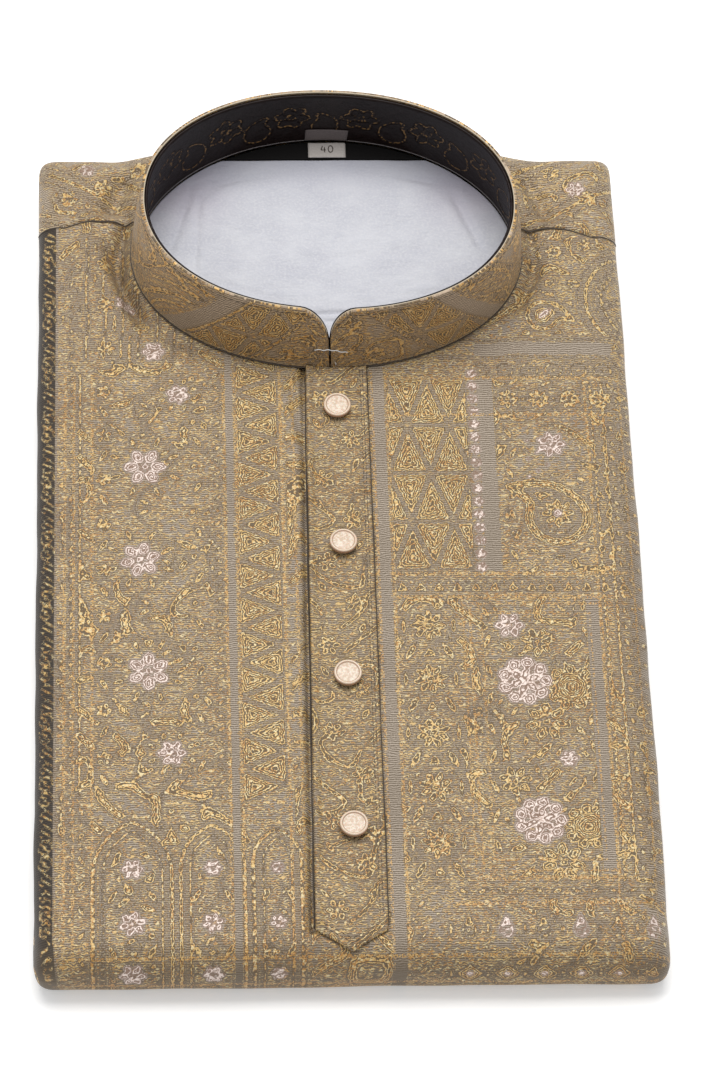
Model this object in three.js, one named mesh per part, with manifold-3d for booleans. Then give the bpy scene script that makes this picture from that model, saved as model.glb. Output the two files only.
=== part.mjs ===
// A brocade kurta folded flat, with its band collar standing as an oval ring at the far end.
// Millimetres, +Z up, +Y to the collar. The origin is under the middle, on the surface that it lies on.
import * as THREE from "three";
import { mergeVertices } from "three/addons/utils/BufferGeometryUtils.js";
import Module from "manifold-3d";

// The folded stack
const WIDTH = 250;
const NEAR_END = -203.5;
const FAR_END = 191.5;
const STACK = 26;
const CROWN = 1;
const CLOTH = 1.2;
const GAP = 0.3;
const SIDE_FOLD = 11;
const NEAR_FOLD = 14;
const FAR_FOLD = 12;
const SIDE_CORE = WIDTH / 2 - SIDE_FOLD;
const NEAR_CORE = NEAR_END + NEAR_FOLD;
const FAR_CORE = FAR_END - FAR_FOLD;
const CORNER_SQUARENESS = 4;

// The edges fade from layered sides to one smooth roll towards the near end.
const ROLL_FADE = { from: -155, to: -184 };

// The shoulder seams
const SEAM_Y = 152.5;
const SEAM_DROP = 7;
const SEAM_BEND = { from: 100, to: 125 };
const SEAM_SLANT = 0.025;

// The collar ring: a base oval on the cloth and a smaller rim oval above it
const BASE = { x: -1.4, y: 135.3, across: 83.8, along: 58.7, power: 2, turn: 0 };
const RIM = { x: -1.4, y: 136.4, across: 79.4, along: 54.9, power: 2.12, turn: -2 };
const RIM_FRONT_Z = 61;
const RIM_RISE = 8;
const COLLAR_CLOTH = 1.3;
const COLLAR_BOW = 0.8;
const COLLAR_SLIT = 0.7;
const COLLAR_CORNER = { along: 11, down: 18 };
const COLLAR_LEAN_ROOM = 0.2;
const INNER_RIM_SETBACK = 1;
const NECK_HOLE_INSET = 2.2;
const NECK_HOLE_FLOOR = 15;

// The cloth rises to the back of the neck, and its far fold bulges behind the collar.
const NECK_RISE = 8;
const NECK_RISE_POWER = 2.2;
const NECK_RISE_EDGE = { from: 1.04, to: 1.34 };
const CREASE_START = { from: 1, to: 1.08 };
const BACK_BULGE = 12;
const BACK_BULGE_HALF_WIDTH = 95;

// Inside the neck
const LINING_INSET = 3.4;
const LINING_DEPTH = 0.6;
const LINING_CLOTH = 1;
const LINING_EDGE_Y = 181.9;
const FACING_DEPTH = 0.7;
const FACING_CLOTH = 0.8;
const FACING_START_Y = 182.7;
const LABEL = { width: 16, from: 182.9, to: 189.7, cloth: 1 };

// The placket
const PLACKET = {
  leftTop: -11.4,
  leftBottom: -14.4,
  right: 13.4,
  straightTo: -187,
  shoulderY: -188.4,
  point: 8.2,
  belowCollar: 0.6,
  gap: 0.4,
};

// The buttons, with the places where their shanks stand
const BUTTON = {
  radius: 5.75,
  shank: 1.7,
  lift: 1,
  thick: 2.5,
  rim: 1.1,
  edge: 0.6,
  recess: 0.6,
  dome: 0.18,
};
const BUTTONS = [
  { x: 0.7, y: 55.2 },
  { x: 1.3, y: -12 },
  { x: 1.2, y: -74.4 },
  { x: 1.5, y: -143.4 },
];

// Soft hollows of the top beside the collar and along the sides: a line of a given length and direction,
// its half width and its depth. A negative depth is a ridge.
const CREASES = [
  { x: -92, y: 166.5, length: 26, angle: 60, halfWidth: 8, depth: 2.4 },
  { x: -93, y: 138.5, length: 30, angle: 100, halfWidth: 8, depth: 2.2 },
  { x: -86, y: 115.5, length: 34, angle: 130, halfWidth: 7, depth: 1.4 },
  { x: -103, y: 123.5, length: 40, angle: 112, halfWidth: 8, depth: -1.1 },
  { x: 96, y: 166.5, length: 26, angle: 115, halfWidth: 8, depth: 2.2 },
  { x: 98, y: 135.5, length: 28, angle: 82, halfWidth: 9, depth: 1.2 },
  { x: 80, y: 95.5, length: 34, angle: 18, halfWidth: 6, depth: 0.9 },
  { x: 84, y: 106.5, length: 30, angle: 22, halfWidth: 6, depth: -0.8 },
  { x: 60, y: 81.5, length: 30, angle: 16, halfWidth: 7, depth: 0.7 },
  { x: 104, y: 15.5, length: 90, angle: 94, halfWidth: 12, depth: -0.7 },
  { x: -70, y: -64.5, length: 120, angle: 86, halfWidth: 22, depth: 0.5 },
  { x: 66, y: -100.5, length: 90, angle: 100, halfWidth: 20, depth: 0.5 },
];

// The fold's section round the edges, from the top down: a height and how far out the cloth stands there,
// on the layered sides, on the near roll and on the far fold, which has heights of its own.
const FOLD_RINGS = [
  { level: 26, side: 0, near: 0, farLevel: 26, far: 0 },
  { level: 25.2, side: 5, near: 5.2, farLevel: 25.2, far: 5 },
  { level: 22.4, side: 9, near: 10, farLevel: 22.4, far: 9.4 },
  { level: 18.6, side: 10.8, near: 12.8, farLevel: 18.6, far: 11.6 },
  { level: 15, side: 9.7, near: 13.8, farLevel: 15.5, far: 12 },
  { level: 13.4, side: 7, near: 14, farLevel: 13.2, far: 11.9 },
  { level: 11.8, side: 9.8, near: 14, farLevel: 11.6, far: 11.5 },
  { level: 9.8, side: 9.8, near: 13.9, farLevel: 10.4, far: 10.9 },
  { level: 8.6, side: 7.3, near: 13.8, farLevel: 9.5, far: 10.2 },
  { level: 6.2, side: 10.6, near: 13.2, farLevel: 8.9, far: 9.4 },
  { level: 2.2, side: 10.2, near: 11.2, farLevel: 8.5, far: 8.6 },
  { level: 0, side: 7, near: 8, farLevel: 8.3, far: 7.8 },
  { level: 0, side: 0, near: 0, farLevel: 8.3, far: 7 },
];

// The same for the layers inside. At the far end two hems lie under the fold.
const LAYER_RINGS = [
  { level: 24, side: 0, near: 0, farLevel: 24, far: 0 },
  { level: 23, side: 4.2, near: 5.2, farLevel: 22.8, far: 5 },
  { level: 20, side: 7, near: 9.6, farLevel: 19.5, far: 8.6 },
  { level: 16.5, side: 6.6, near: 11.6, farLevel: 15, far: 9.6 },
  { level: 13.6, side: 5, near: 12, farLevel: 11.9, far: 9 },
  { level: 11, side: 5, near: 12, farLevel: 10.3, far: 6.2 },
  { level: 8.6, side: 5, near: 11.8, farLevel: 7.7, far: 6 },
  { level: 6.4, side: 5, near: 11, farLevel: 7.2, far: 6.5 },
  { level: 4.6, side: 4.8, near: 9.8, farLevel: 5.2, far: 6.5 },
  { level: 3.2, side: 4.2, near: 8.4, farLevel: 4.7, far: 4.6 },
  { level: 2.2, side: 2.8, near: 5, farLevel: 4.2, far: 6.5 },
  { level: 1.7, side: -0.7, near: -0.7, farLevel: 0.5, far: 6.5 },
  { level: 0, side: -0.8, near: -0.8, farLevel: 0, far: 6 },
];
const LAYER_TOP_GAP = 0.5;
const LAYER_REACH = 9;
const LAYER_CORNER_SETBACK = 1;

// How finely each piece is divided
const GRID = {
  corner: 5,
  frontColumns: 18,
  frontFineFrom: 55,
  frontCoarseRows: 14,
  frontFineRows: 12,
  yokeRows: 4,
  layerColumns: 12,
  layerRows: 20,
  neckHole: 36,
  collarStations: 52,
  collarRows: 3,
  collarEnd: [0, 0.8, 2.2, 4.4, 7.4, COLLAR_CORNER.along],
  liningColumns: 10,
  liningRows: 10,
  facingRows: 4,
  labelColumns: 4,
  labelRows: 3,
  placketColumns: 6,
  placketRows: 20,
  button: 18,
};

const MATERIALS = {
  brocade: { color: 0x9c9176, roughness: 0.62, metalness: 0.15 },
  satin: { color: 0x3a302c, roughness: 0.4, metalness: 0 },
  lining: { color: 0xc9ccd6, roughness: 0.85, metalness: 0 },
  facing: { color: 0x17130f, roughness: 0.8, metalness: 0 },
  label: { color: 0xd9d4cc, roughness: 0.8, metalness: 0 },
  button: { color: 0xe2c9ae, roughness: 0.35, metalness: 0 },
};

const wasm = await Module();
wasm.setup();

function smoothStep(from, to, value) {
  const t = THREE.MathUtils.clamp((value - from) / (to - from), 0, 1);
  return t * t * (3 - 2 * t);
}

function mix(a, b, t) {
  return a + (b - a) * t;
}

function steps(from, to, count) {
  return Array.from({ length: count + 1 }, (_, i) => mix(from, to, i / count));
}

// Shape of the top

function seamY(x) {
  return SEAM_Y - SEAM_DROP * smoothStep(SEAM_BEND.from, SEAM_BEND.to, Math.abs(x)) - SEAM_SLANT * x;
}

function creaseDepth(x, y) {
  let depth = 0;
  for (const crease of CREASES) {
    const angle = THREE.MathUtils.degToRad(crease.angle);
    const dx = x - crease.x;
    const dy = y - crease.y;
    const along = (dx * Math.cos(angle) + dy * Math.sin(angle)) / (crease.length / 2);
    const across = (dy * Math.cos(angle) - dx * Math.sin(angle)) / crease.halfWidth;
    depth += crease.depth * Math.exp(-across * across - along ** 4);
  }
  return depth;
}

function ovalDistance(x, y) {
  return Math.hypot((x - BASE.x) / BASE.across, (y - BASE.y) / BASE.along);
}

function topHeight(x, y) {
  const away = ovalDistance(x, y);
  const back = Math.max(0, (1 + (y - BASE.y) / BASE.along) / 2);
  const rise = NECK_RISE * Math.min(1, back) ** NECK_RISE_POWER;
  const near = 1 - smoothStep(NECK_RISE_EDGE.from, NECK_RISE_EDGE.to, away);
  const clear = smoothStep(CREASE_START.from, CREASE_START.to, away);
  return STACK - CROWN * (x / SIDE_CORE) ** 2 + rise * near - clear * creaseDepth(x, y);
}

// The layers inside stay under the lowest cloth nearby.
function layerHeight(x, y) {
  const around = steps(0, 2 * Math.PI, 8);
  const heights = around.map((a) => topHeight(x + LAYER_REACH * Math.cos(a), y + LAYER_REACH * Math.sin(a)));
  return Math.min(topHeight(x, y), ...heights) - CLOTH - LAYER_TOP_GAP;
}

function farCoreY(x) {
  const t = THREE.MathUtils.clamp(x / BACK_BULGE_HALF_WIDTH, -1, 1);
  return FAR_CORE + BACK_BULGE * Math.cos((t * Math.PI) / 2) ** 2;
}

// Height of the cloth at a place of the plan, over the top and a little way down the far fold
function clothHeight(x, y) {
  const past = y - farCoreY(x);
  if (past <= 0) return topHeight(x, y);
  const i = FOLD_RINGS.findIndex((ring) => ring.far > past);
  const above = FOLD_RINGS[i - 1];
  const below = FOLD_RINGS[i];
  const t = (past - above.far) / (below.far - above.far);
  return (topHeight(x, farCoreY(x)) * mix(above.farLevel, below.farLevel, t)) / STACK;
}

// Meshes: an open surface of points and triangles, and cloth walls made from it

class Surface {
  constructor() {
    this.points = [];
    this.triangles = [];
    this.index = new Map();
  }
  vertex(p) {
    const key = p.map((v) => Math.round(v * 1e4)).join(" ");
    if (!this.index.has(key)) {
      this.index.set(key, this.points.length);
      this.points.push(p);
    }
    return this.index.get(key);
  }
  triangle(a, b, c) {
    if (a !== b && b !== c && a !== c) this.triangles.push([a, b, c]);
  }
  quad(a, b, c, d) {
    this.triangle(a, b, c);
    this.triangle(a, c, d);
  }
  // Rows of points: a row's points run to the right and the rows run up, seen from outside.
  sheet(rows) {
    const ids = rows.map((row) => row.map((p) => this.vertex(p)));
    for (let j = 0; j + 1 < ids.length; j++)
      for (let i = 0; i + 1 < ids[j].length; i++)
        this.quad(ids[j][i], ids[j][i + 1], ids[j + 1][i + 1], ids[j + 1][i]);
    return this;
  }
  normals() {
    const normals = this.points.map(() => new THREE.Vector3());
    const at = this.points.map((p) => new THREE.Vector3(...p));
    for (const [a, b, c] of this.triangles) {
      const n = at[b].clone().sub(at[a]).cross(at[c].clone().sub(at[a]));
      for (const i of [a, b, c]) normals[i].add(n);
    }
    return normals.map((n) => n.normalize());
  }
  movedOut(distance) {
    const moved = new Surface();
    const normals = this.normals();
    const move = (p, normal) => p.map((v, axis) => v + distance * normal.getComponent(axis));
    moved.points = this.points.map((p, i) => move(p, normals[i]));
    moved.triangles = this.triangles.map((t) => [...t]);
    return moved;
  }
  edges() {
    const open = new Map();
    for (const t of this.triangles)
      for (let i = 0; i < 3; i++) {
        const a = t[i];
        const b = t[(i + 1) % 3];
        if (!open.delete(b + " " + a)) open.set(a + " " + b, [a, b]);
      }
    return [...open.values()];
  }
}

function closedGeometry(points, triangles) {
  const geometry = new THREE.BufferGeometry();
  geometry.setAttribute("position", new THREE.Float32BufferAttribute(points.flat(), 3));
  geometry.setIndex(triangles.flat());
  return geometry;
}

// A wall of cloth with the surface as its outer face
function wall(surface, thick) {
  const inner = surface.movedOut(-thick);
  const count = surface.points.length;
  const triangles = [...surface.triangles];
  for (const [a, b, c] of surface.triangles) triangles.push([a + count, c + count, b + count]);
  for (const [a, b] of surface.edges()) triangles.push([b, a, a + count], [b, a + count, b + count]);
  return closedGeometry([...surface.points, ...inner.points], triangles);
}

function toSolid(geometry) {
  const bare = geometry.clone();
  bare.deleteAttribute("normal");
  bare.deleteAttribute("uv");
  const merged = mergeVertices(bare, 1e-4);
  return new wasm.Manifold(
    new wasm.Mesh({
      numProp: 3,
      vertProperties: merged.attributes.position.array,
      triVerts: new Uint32Array(merged.index.array),
    }),
  );
}

function toGeometry(solid) {
  const { vertProperties, triVerts } = solid.getMesh();
  const geometry = new THREE.BufferGeometry();
  geometry.setAttribute("position", new THREE.BufferAttribute(new Float32Array(vertProperties), 3));
  geometry.setIndex(new THREE.BufferAttribute(new Uint32Array(triVerts), 1));
  return geometry;
}

function neckPrism() {
  const oval = new THREE.Shape();
  const across = BASE.across - NECK_HOLE_INSET;
  const along = BASE.along - NECK_HOLE_INSET;
  oval.absellipse(BASE.x, BASE.y, across, along, 0, 2 * Math.PI);
  const cut = { depth: 2 * STACK, bevelEnabled: false, curveSegments: GRID.neckHole };
  return toSolid(new THREE.ExtrudeGeometry(oval, cut).translate(0, 0, NECK_HOLE_FLOOR));
}

// The stack's edges

// A station of the outline: where the fold starts on the top, the way it goes out in plan, and how far
// it has turned from a side (0) to an end (1). Corners hold several stations at one place.
function station(x, y, outX, outY, turn, end) {
  return { x, y, outX, outY, turn, end };
}

function cornerStations(x, y, signX, end, firstTurn) {
  const signY = end === "far" ? 1 : -1;
  const made = [];
  for (let i = 1; i < GRID.corner; i++) {
    const turn = firstTurn === 0 ? i / GRID.corner : 1 - i / GRID.corner;
    const angle = (turn * Math.PI) / 2;
    const outX = signX * Math.cos(angle) ** (2 / CORNER_SQUARENESS);
    const outY = signY * Math.sin(angle) ** (2 / CORNER_SQUARENESS);
    made.push(station(x, y, outX, outY, turn, end));
  }
  return made;
}

function ringPoint(rings, at, k, heightAt) {
  const ring = rings[k];
  const roll = at.end === "far" ? 0 : smoothStep(ROLL_FADE.from, ROLL_FADE.to, at.y);
  const hidden = rings === LAYER_RINGS && at.end === "far" && at.turn > 0 && k > 0;
  const side = hidden ? -LAYER_CORNER_SETBACK : mix(ring.side, (ring.near * SIDE_FOLD) / NEAR_FOLD, roll);
  const end = at.end === "far" ? ring.far : ring.near;
  const endLevel = at.end === "far" ? ring.farLevel : ring.level;
  const x = at.x + side * at.outX;
  const y = at.y + end * at.outY;
  const scale = heightAt(at.x, at.y) / rings[0].level;
  return [x, y, mix(ring.level, endLevel, at.turn) * scale];
}

function foldRows(rings, stations, heightAt) {
  const rows = rings.map((_, k) => stations.map((at) => ringPoint(rings, at, k, heightAt)));
  return rows.reverse();
}

function frontStations(columns, rowsAt) {
  const left = rowsAt(columns[0]).map((y) => station(columns[0], y, -1, 0, 0, "near"));
  const right = rowsAt(columns.at(-1)).map((y) => station(columns.at(-1), y, 1, 0, 0, "near"));
  return [
    ...left.reverse(),
    ...cornerStations(-SIDE_CORE, NEAR_CORE, -1, "near", 0),
    ...columns.map((x) => station(x, NEAR_CORE, 0, -1, 1, "near")),
    ...cornerStations(SIDE_CORE, NEAR_CORE, 1, "near", 1),
    ...right,
  ];
}

function backStations(columns, rowsAt) {
  const left = rowsAt(columns[0]).map((y) => station(columns[0], y, -1, 0, 0, "far"));
  const right = rowsAt(columns.at(-1)).map((y) => station(columns.at(-1), y, 1, 0, 0, "far"));
  return [
    ...right,
    ...cornerStations(SIDE_CORE, FAR_CORE, 1, "far", 0),
    ...[...columns].reverse().map((x) => station(x, farCoreY(x), 0, 1, 1, "far")),
    ...cornerStations(-SIDE_CORE, FAR_CORE, -1, "far", 1),
    ...left.reverse(),
  ];
}

// Front, back and the layers inside

const FRONT_COLUMNS = steps(-SIDE_CORE, SIDE_CORE, GRID.frontColumns);
const LAYER_COLUMNS = steps(-SIDE_CORE, SIDE_CORE, GRID.layerColumns);

function frontRows(x) {
  return [
    ...steps(NEAR_CORE, GRID.frontFineFrom, GRID.frontCoarseRows).slice(0, -1),
    ...steps(GRID.frontFineFrom, seamY(x) - GAP / 2, GRID.frontFineRows),
  ];
}

function yokeRows(x) {
  return steps(seamY(x) + GAP / 2, farCoreY(x), GRID.yokeRows);
}

function topSheet(columns, rowsAt, heightAt) {
  const byColumn = columns.map((x) => rowsAt(x).map((y) => [x, y, heightAt(x, y)]));
  return byColumn[0].map((_, j) => byColumn.map((column) => column[j]));
}

function frontPanel() {
  const surface = new Surface();
  surface.sheet(topSheet(FRONT_COLUMNS, frontRows, topHeight));
  surface.sheet(foldRows(FOLD_RINGS, frontStations(FRONT_COLUMNS, frontRows), topHeight));
  return toGeometry(toSolid(wall(surface, CLOTH)).subtract(neckPrism()));
}

function backYoke() {
  const surface = new Surface();
  surface.sheet(topSheet(FRONT_COLUMNS, yokeRows, topHeight));
  surface.sheet(foldRows(FOLD_RINGS, backStations(FRONT_COLUMNS, yokeRows), topHeight));
  return toGeometry(toSolid(wall(surface, CLOTH)).subtract(neckPrism()));
}

function foldedLayers() {
  const rowsAt = (x) => steps(NEAR_CORE, farCoreY(x), GRID.layerRows);
  const surface = new Surface();
  surface.sheet(topSheet(LAYER_COLUMNS, rowsAt, layerHeight));
  const sideRows = (x) => rowsAt(x).slice(1, -1);
  const front = frontStations(LAYER_COLUMNS, (x) => sideRows(x).filter((y) => y < 0));
  const back = backStations(LAYER_COLUMNS, (x) => sideRows(x).filter((y) => y >= 0));
  const around = [...front, ...back];
  surface.sheet(foldRows(LAYER_RINGS, [...around, around[0]], layerHeight));
  const underside = around.map((at) => ringPoint(LAYER_RINGS, at, LAYER_RINGS.length - 1, layerHeight));
  const middle = surface.vertex([0, 0, 0]);
  underside.forEach((p, i) => {
    const next = underside[(i + 1) % underside.length];
    surface.triangle(middle, surface.vertex(next), surface.vertex(p));
  });
  return closedGeometry(surface.points, surface.triangles);
}

// The collar

// Angles round the oval from one front end to the other, anticlockwise from above, closer at the ends
function collarAngles() {
  const start = -Math.PI / 2 + COLLAR_SLIT / BASE.across;
  const end = start + 2 * Math.PI - (2 * COLLAR_SLIT) / BASE.across;
  const lead = GRID.collarEnd.map((e) => e / BASE.across);
  const middle = steps(start + lead.at(-1), end - lead.at(-1), GRID.collarStations).slice(1, -1);
  return [...lead.map((a) => start + a), ...middle, ...lead.reverse().map((a) => end - a)];
}

function ovalPoint(oval, angle, inset) {
  const squared = (v) => Math.sign(v) * Math.abs(v) ** (2 / oval.power);
  const dx = (oval.across - inset) * squared(Math.cos(angle));
  const dy = (oval.along - inset) * squared(Math.sin(angle));
  const turn = THREE.MathUtils.degToRad(oval.turn);
  return [
    oval.x + dx * Math.cos(turn) - dy * Math.sin(turn),
    oval.y + dx * Math.sin(turn) + dy * Math.cos(turn),
  ];
}

function collarCornerDrop(angles, i) {
  const fromEnd = Math.min(angles[i] - angles[0], angles.at(-1) - angles[i]) * BASE.across;
  const left = Math.max(0, 1 - fromEnd / COLLAR_CORNER.along);
  return COLLAR_CORNER.down * (1 - Math.sqrt(1 - left * left));
}

function collarSurface(inset, cloth, rimSetback) {
  const angles = collarAngles();
  const rows = steps(0, 1, GRID.collarRows).map((t) =>
    angles.map((angle, i) => {
      const [x0, y0] = ovalPoint(BASE, angle, inset);
      const [x1, y1] = ovalPoint(RIM, angle, inset);
      const cloths = [clothHeight(x0, y0), clothHeight(...ovalPoint(BASE, angle, inset + cloth))];
      const z0 = Math.max(...cloths) + GAP + COLLAR_LEAN_ROOM;
      const back = (1 + Math.sin(angle)) / 2;
      const z1 = RIM_FRONT_Z + RIM_RISE * back - rimSetback;
      const up = t * (1 - collarCornerDrop(angles, i) / (z1 - z0));
      const bow = COLLAR_BOW * 4 * up * (1 - up);
      return [
        mix(x0, x1, up) + bow * Math.cos(angle),
        mix(y0, y1, up) + bow * Math.sin(angle),
        mix(z0, z1, up),
      ];
    }),
  );
  return new Surface().sheet(rows);
}

function collarOuter() {
  return wall(collarSurface(0, COLLAR_CLOTH, 0), COLLAR_CLOTH);
}

function collarInner() {
  return wall(collarSurface(COLLAR_CLOTH + GAP, CLOTH, INNER_RIM_SETBACK), CLOTH);
}

// Inside the neck

// Half the neck oval's width at a place along it, and half its length at a place across it
function ovalHalfWidth(y, inset) {
  const t = THREE.MathUtils.clamp((y - BASE.y) / (BASE.along - inset), -1, 1);
  return (BASE.across - inset) * Math.sqrt(1 - t * t);
}

function ovalHalfLength(x) {
  const t = (x - BASE.x) / BASE.across;
  return BASE.along * Math.sqrt(1 - t * t);
}

function ovalSheet(ys, depth) {
  const rows = ys.map((y) => {
    const half = ovalHalfWidth(y, LINING_INSET);
    const xs = steps(BASE.x - half, BASE.x + half, GRID.liningColumns);
    return xs.map((x) => [x, y, topHeight(x, y) - depth]);
  });
  return new Surface().sheet(rows);
}

function neckLining() {
  const front = BASE.y - BASE.along + LINING_INSET;
  const turn = Math.acos((BASE.y - LINING_EDGE_Y) / (BASE.along - LINING_INSET));
  const ys = steps(0, turn, GRID.liningRows).map((a) => BASE.y - (BASE.y - front) * Math.cos(a));
  return wall(ovalSheet(ys, LINING_DEPTH), LINING_CLOTH);
}

function backFacing() {
  const back = BASE.y + BASE.along - LINING_INSET;
  return wall(ovalSheet(steps(FACING_START_Y, back, GRID.facingRows), FACING_DEPTH), FACING_CLOTH);
}

function sizeLabel() {
  const rise = LABEL.cloth + GAP - FACING_DEPTH;
  const xs = steps(-LABEL.width / 2, LABEL.width / 2, GRID.labelColumns);
  const ys = steps(LABEL.from, LABEL.to, GRID.labelRows);
  const rows = ys.map((y) => xs.map((x) => [x, y, topHeight(x, y) + rise]));
  return wall(new Surface().sheet(rows), LABEL.cloth);
}

// The placket

// A place on the front, by its distance along the cloth once past the near fold's start
function alongFront(x, along) {
  if (along >= NEAR_CORE) return [x, along, topHeight(x, along)];
  let left = NEAR_CORE - along;
  let i = 0;
  let run = 0;
  for (; ; i++) {
    const above = FOLD_RINGS[i];
    const below = FOLD_RINGS[i + 1];
    run = Math.hypot(below.near - above.near, below.level - above.level);
    if (left <= run) break;
    left -= run;
  }
  const t = left / run;
  const out = mix(FOLD_RINGS[i].near, FOLD_RINGS[i + 1].near, t);
  const level = mix(FOLD_RINGS[i].level, FOLD_RINGS[i + 1].level, t);
  return [x, NEAR_CORE - out, (topHeight(x, NEAR_CORE) * level) / STACK];
}

const FIRST_BEND = NEAR_CORE - Math.hypot(FOLD_RINGS[1].near, STACK - FOLD_RINGS[1].level);

function placket() {
  const columns = steps(0, 1, GRID.placketColumns);
  const start = (x) => BASE.y - ovalHalfLength(x) - PLACKET.belowCollar;
  const byColumn = columns.map((f) => {
    const xAt = (share) => mix(mix(PLACKET.leftTop, PLACKET.leftBottom, share), PLACKET.right, f);
    const end = PLACKET.shoulderY - PLACKET.point * (1 - Math.abs(2 * f - 1));
    const top = start(xAt(0));
    const alongs = steps(top, PLACKET.straightTo, GRID.placketRows);
    for (const bend of [NEAR_CORE, FIRST_BEND]) {
      alongs.push(end < bend ? bend : (alongs.at(-1) + end) / 2);
    }
    alongs.push(end);
    return alongs.map((along, j) => alongFront(xAt(Math.min(1, j / GRID.placketRows)), along));
  });
  const rows = byColumn[0].map((_, j) => byColumn.map((column) => column[j])).reverse();
  return wall(new Surface().sheet(rows).movedOut(PLACKET.gap + CLOTH), CLOTH);
}

// A shank button: a disc with a raised rim round a slightly domed face.
function button() {
  const { radius, shank, lift, thick, rim, edge, recess, dome } = BUTTON;
  const top = lift + thick;
  const profile = [
    [0, 0],
    [shank, 0],
    [shank, lift],
    [radius - edge, lift],
    [radius, lift + edge],
    [radius, top - edge],
    [radius - edge / 2, top],
    [radius - rim, top],
    [radius - rim - edge / 2, top - recess],
    [(radius - rim) / 2, top - recess + (dome * 2) / 3],
    [0, top - recess + dome],
  ].map(([r, z]) => new THREE.Vector2(r, z));
  return new THREE.LatheGeometry(profile, GRID.button).rotateX(Math.PI / 2);
}

// The kurta

const kurta = new THREE.Group();

function addPiece(name, geometry, materialName) {
  const mesh = new THREE.Mesh(geometry, new THREE.MeshStandardMaterial(MATERIALS[materialName]));
  mesh.name = name;
  kurta.add(mesh);
  return mesh;
}

addPiece("folded_layers", foldedLayers(), "brocade");
addPiece("front_panel", frontPanel(), "brocade");
addPiece("back_yoke", backYoke(), "brocade");
addPiece("collar_outer", collarOuter(), "brocade");
addPiece("collar_inner", collarInner(), "satin");
addPiece("placket", placket(), "brocade");
addPiece("neck_lining", neckLining(), "lining");
addPiece("back_facing", backFacing(), "facing");
addPiece("size_label", sizeLabel(), "label");
BUTTONS.forEach((place, i) => {
  const mesh = addPiece(`button_${i + 1}`, button(), "button");
  mesh.position.set(place.x, place.y, topHeight(place.x, place.y) + PLACKET.gap + CLOTH + GAP);
});

export default kurta;
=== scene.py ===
"""A brocade kurta folded flat with its band collar standing: cloth, sewing, buttons, looks, light and camera.

Sizes are in millimetres in the row frame, and mesh() turns them into metres.
"""

import math

import bpy
import numpy as np
from mathutils import Matrix, Vector


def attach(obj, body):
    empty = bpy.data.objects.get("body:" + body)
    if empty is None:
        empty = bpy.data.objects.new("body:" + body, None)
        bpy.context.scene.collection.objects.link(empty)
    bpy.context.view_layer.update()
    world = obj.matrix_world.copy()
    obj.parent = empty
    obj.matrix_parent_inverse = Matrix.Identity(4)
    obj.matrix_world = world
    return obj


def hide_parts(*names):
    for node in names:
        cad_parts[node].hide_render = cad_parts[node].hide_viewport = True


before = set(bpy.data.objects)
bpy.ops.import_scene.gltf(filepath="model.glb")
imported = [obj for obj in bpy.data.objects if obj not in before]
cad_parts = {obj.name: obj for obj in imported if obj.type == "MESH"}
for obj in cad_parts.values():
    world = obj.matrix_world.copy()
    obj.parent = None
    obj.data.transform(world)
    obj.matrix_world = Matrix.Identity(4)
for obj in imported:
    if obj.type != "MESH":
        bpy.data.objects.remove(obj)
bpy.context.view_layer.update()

# The folded stack, as in the part's source
STACK = 26.0
CROWN = 1.0
CLOTH = 1.2
SIDE_CORE = 114.0
NEAR_CORE = -189.5
FAR_CORE = 179.5
SIDE_FOLD = 11.0
NEAR_FOLD = 14.0
CORNER_POWER = 0.5
ROLL_FADE = (-155.0, -184.0)
SEAM_Y = 152.5
SEAM_DROP = 7.0
SEAM_BEND = (100.0, 125.0)
SEAM_SLANT = 0.025
BASE = {"x": -1.4, "y": 135.3, "across": 83.8, "along": 58.7, "power": 2.0, "turn": 0.0}
RIM = {"x": -1.4, "y": 136.4, "across": 79.4, "along": 54.9, "power": 2.12, "turn": -2.0}
RIM_FRONT_Z = 61.0
RIM_RISE = 8.0
COLLAR_CLOTH = 1.3
COLLAR_BOW = 0.8
COLLAR_SLIT = 0.45
COLLAR_CORNER = (11.0, 18.0)
INNER_SETBACK = 1.0
GAP = 0.3
NECK_RISE = 8.0
NECK_RISE_POWER = 2.2
NECK_RISE_EDGE = (1.04, 1.34)
CREASE_START = (1.0, 1.08)
BACK_BULGE = 12.0
BACK_BULGE_HALF_WIDTH = 95.0
PLACKET = {"left_top": -11.4, "left_end": -14.4, "right": 13.4, "shoulder": -188.4, "point": 8.2, "lift": 1.6}
PLACKET_TOP = 76.0
PLACKET_RUN = 265.0
BUTTONS = [(0.7, 55.2), (1.3, -12.0), (1.2, -74.4), (1.5, -143.4)]
LINING_INSET = 3.0
SEAM_INSET = 1.0

# x, y, length, angle, half width, depth of the hollows that the solids have too
CREASES = [
    (-92, 166.5, 26, 60, 8, 2.4),
    (-93, 138.5, 30, 100, 8, 2.2),
    (-86, 115.5, 34, 130, 7, 1.4),
    (-103, 123.5, 40, 112, 8, -1.1),
    (96, 166.5, 26, 115, 8, 2.2),
    (98, 135.5, 28, 82, 9, 1.2),
    (80, 95.5, 34, 18, 6, 0.9),
    (84, 106.5, 30, 22, 6, -0.8),
    (60, 81.5, 30, 16, 7, 0.7),
    (104, 15.5, 90, 94, 12, -0.7),
    (-70, -64.5, 120, 86, 22, 0.5),
    (66, -100.5, 90, 100, 20, 0.5),
]

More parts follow.
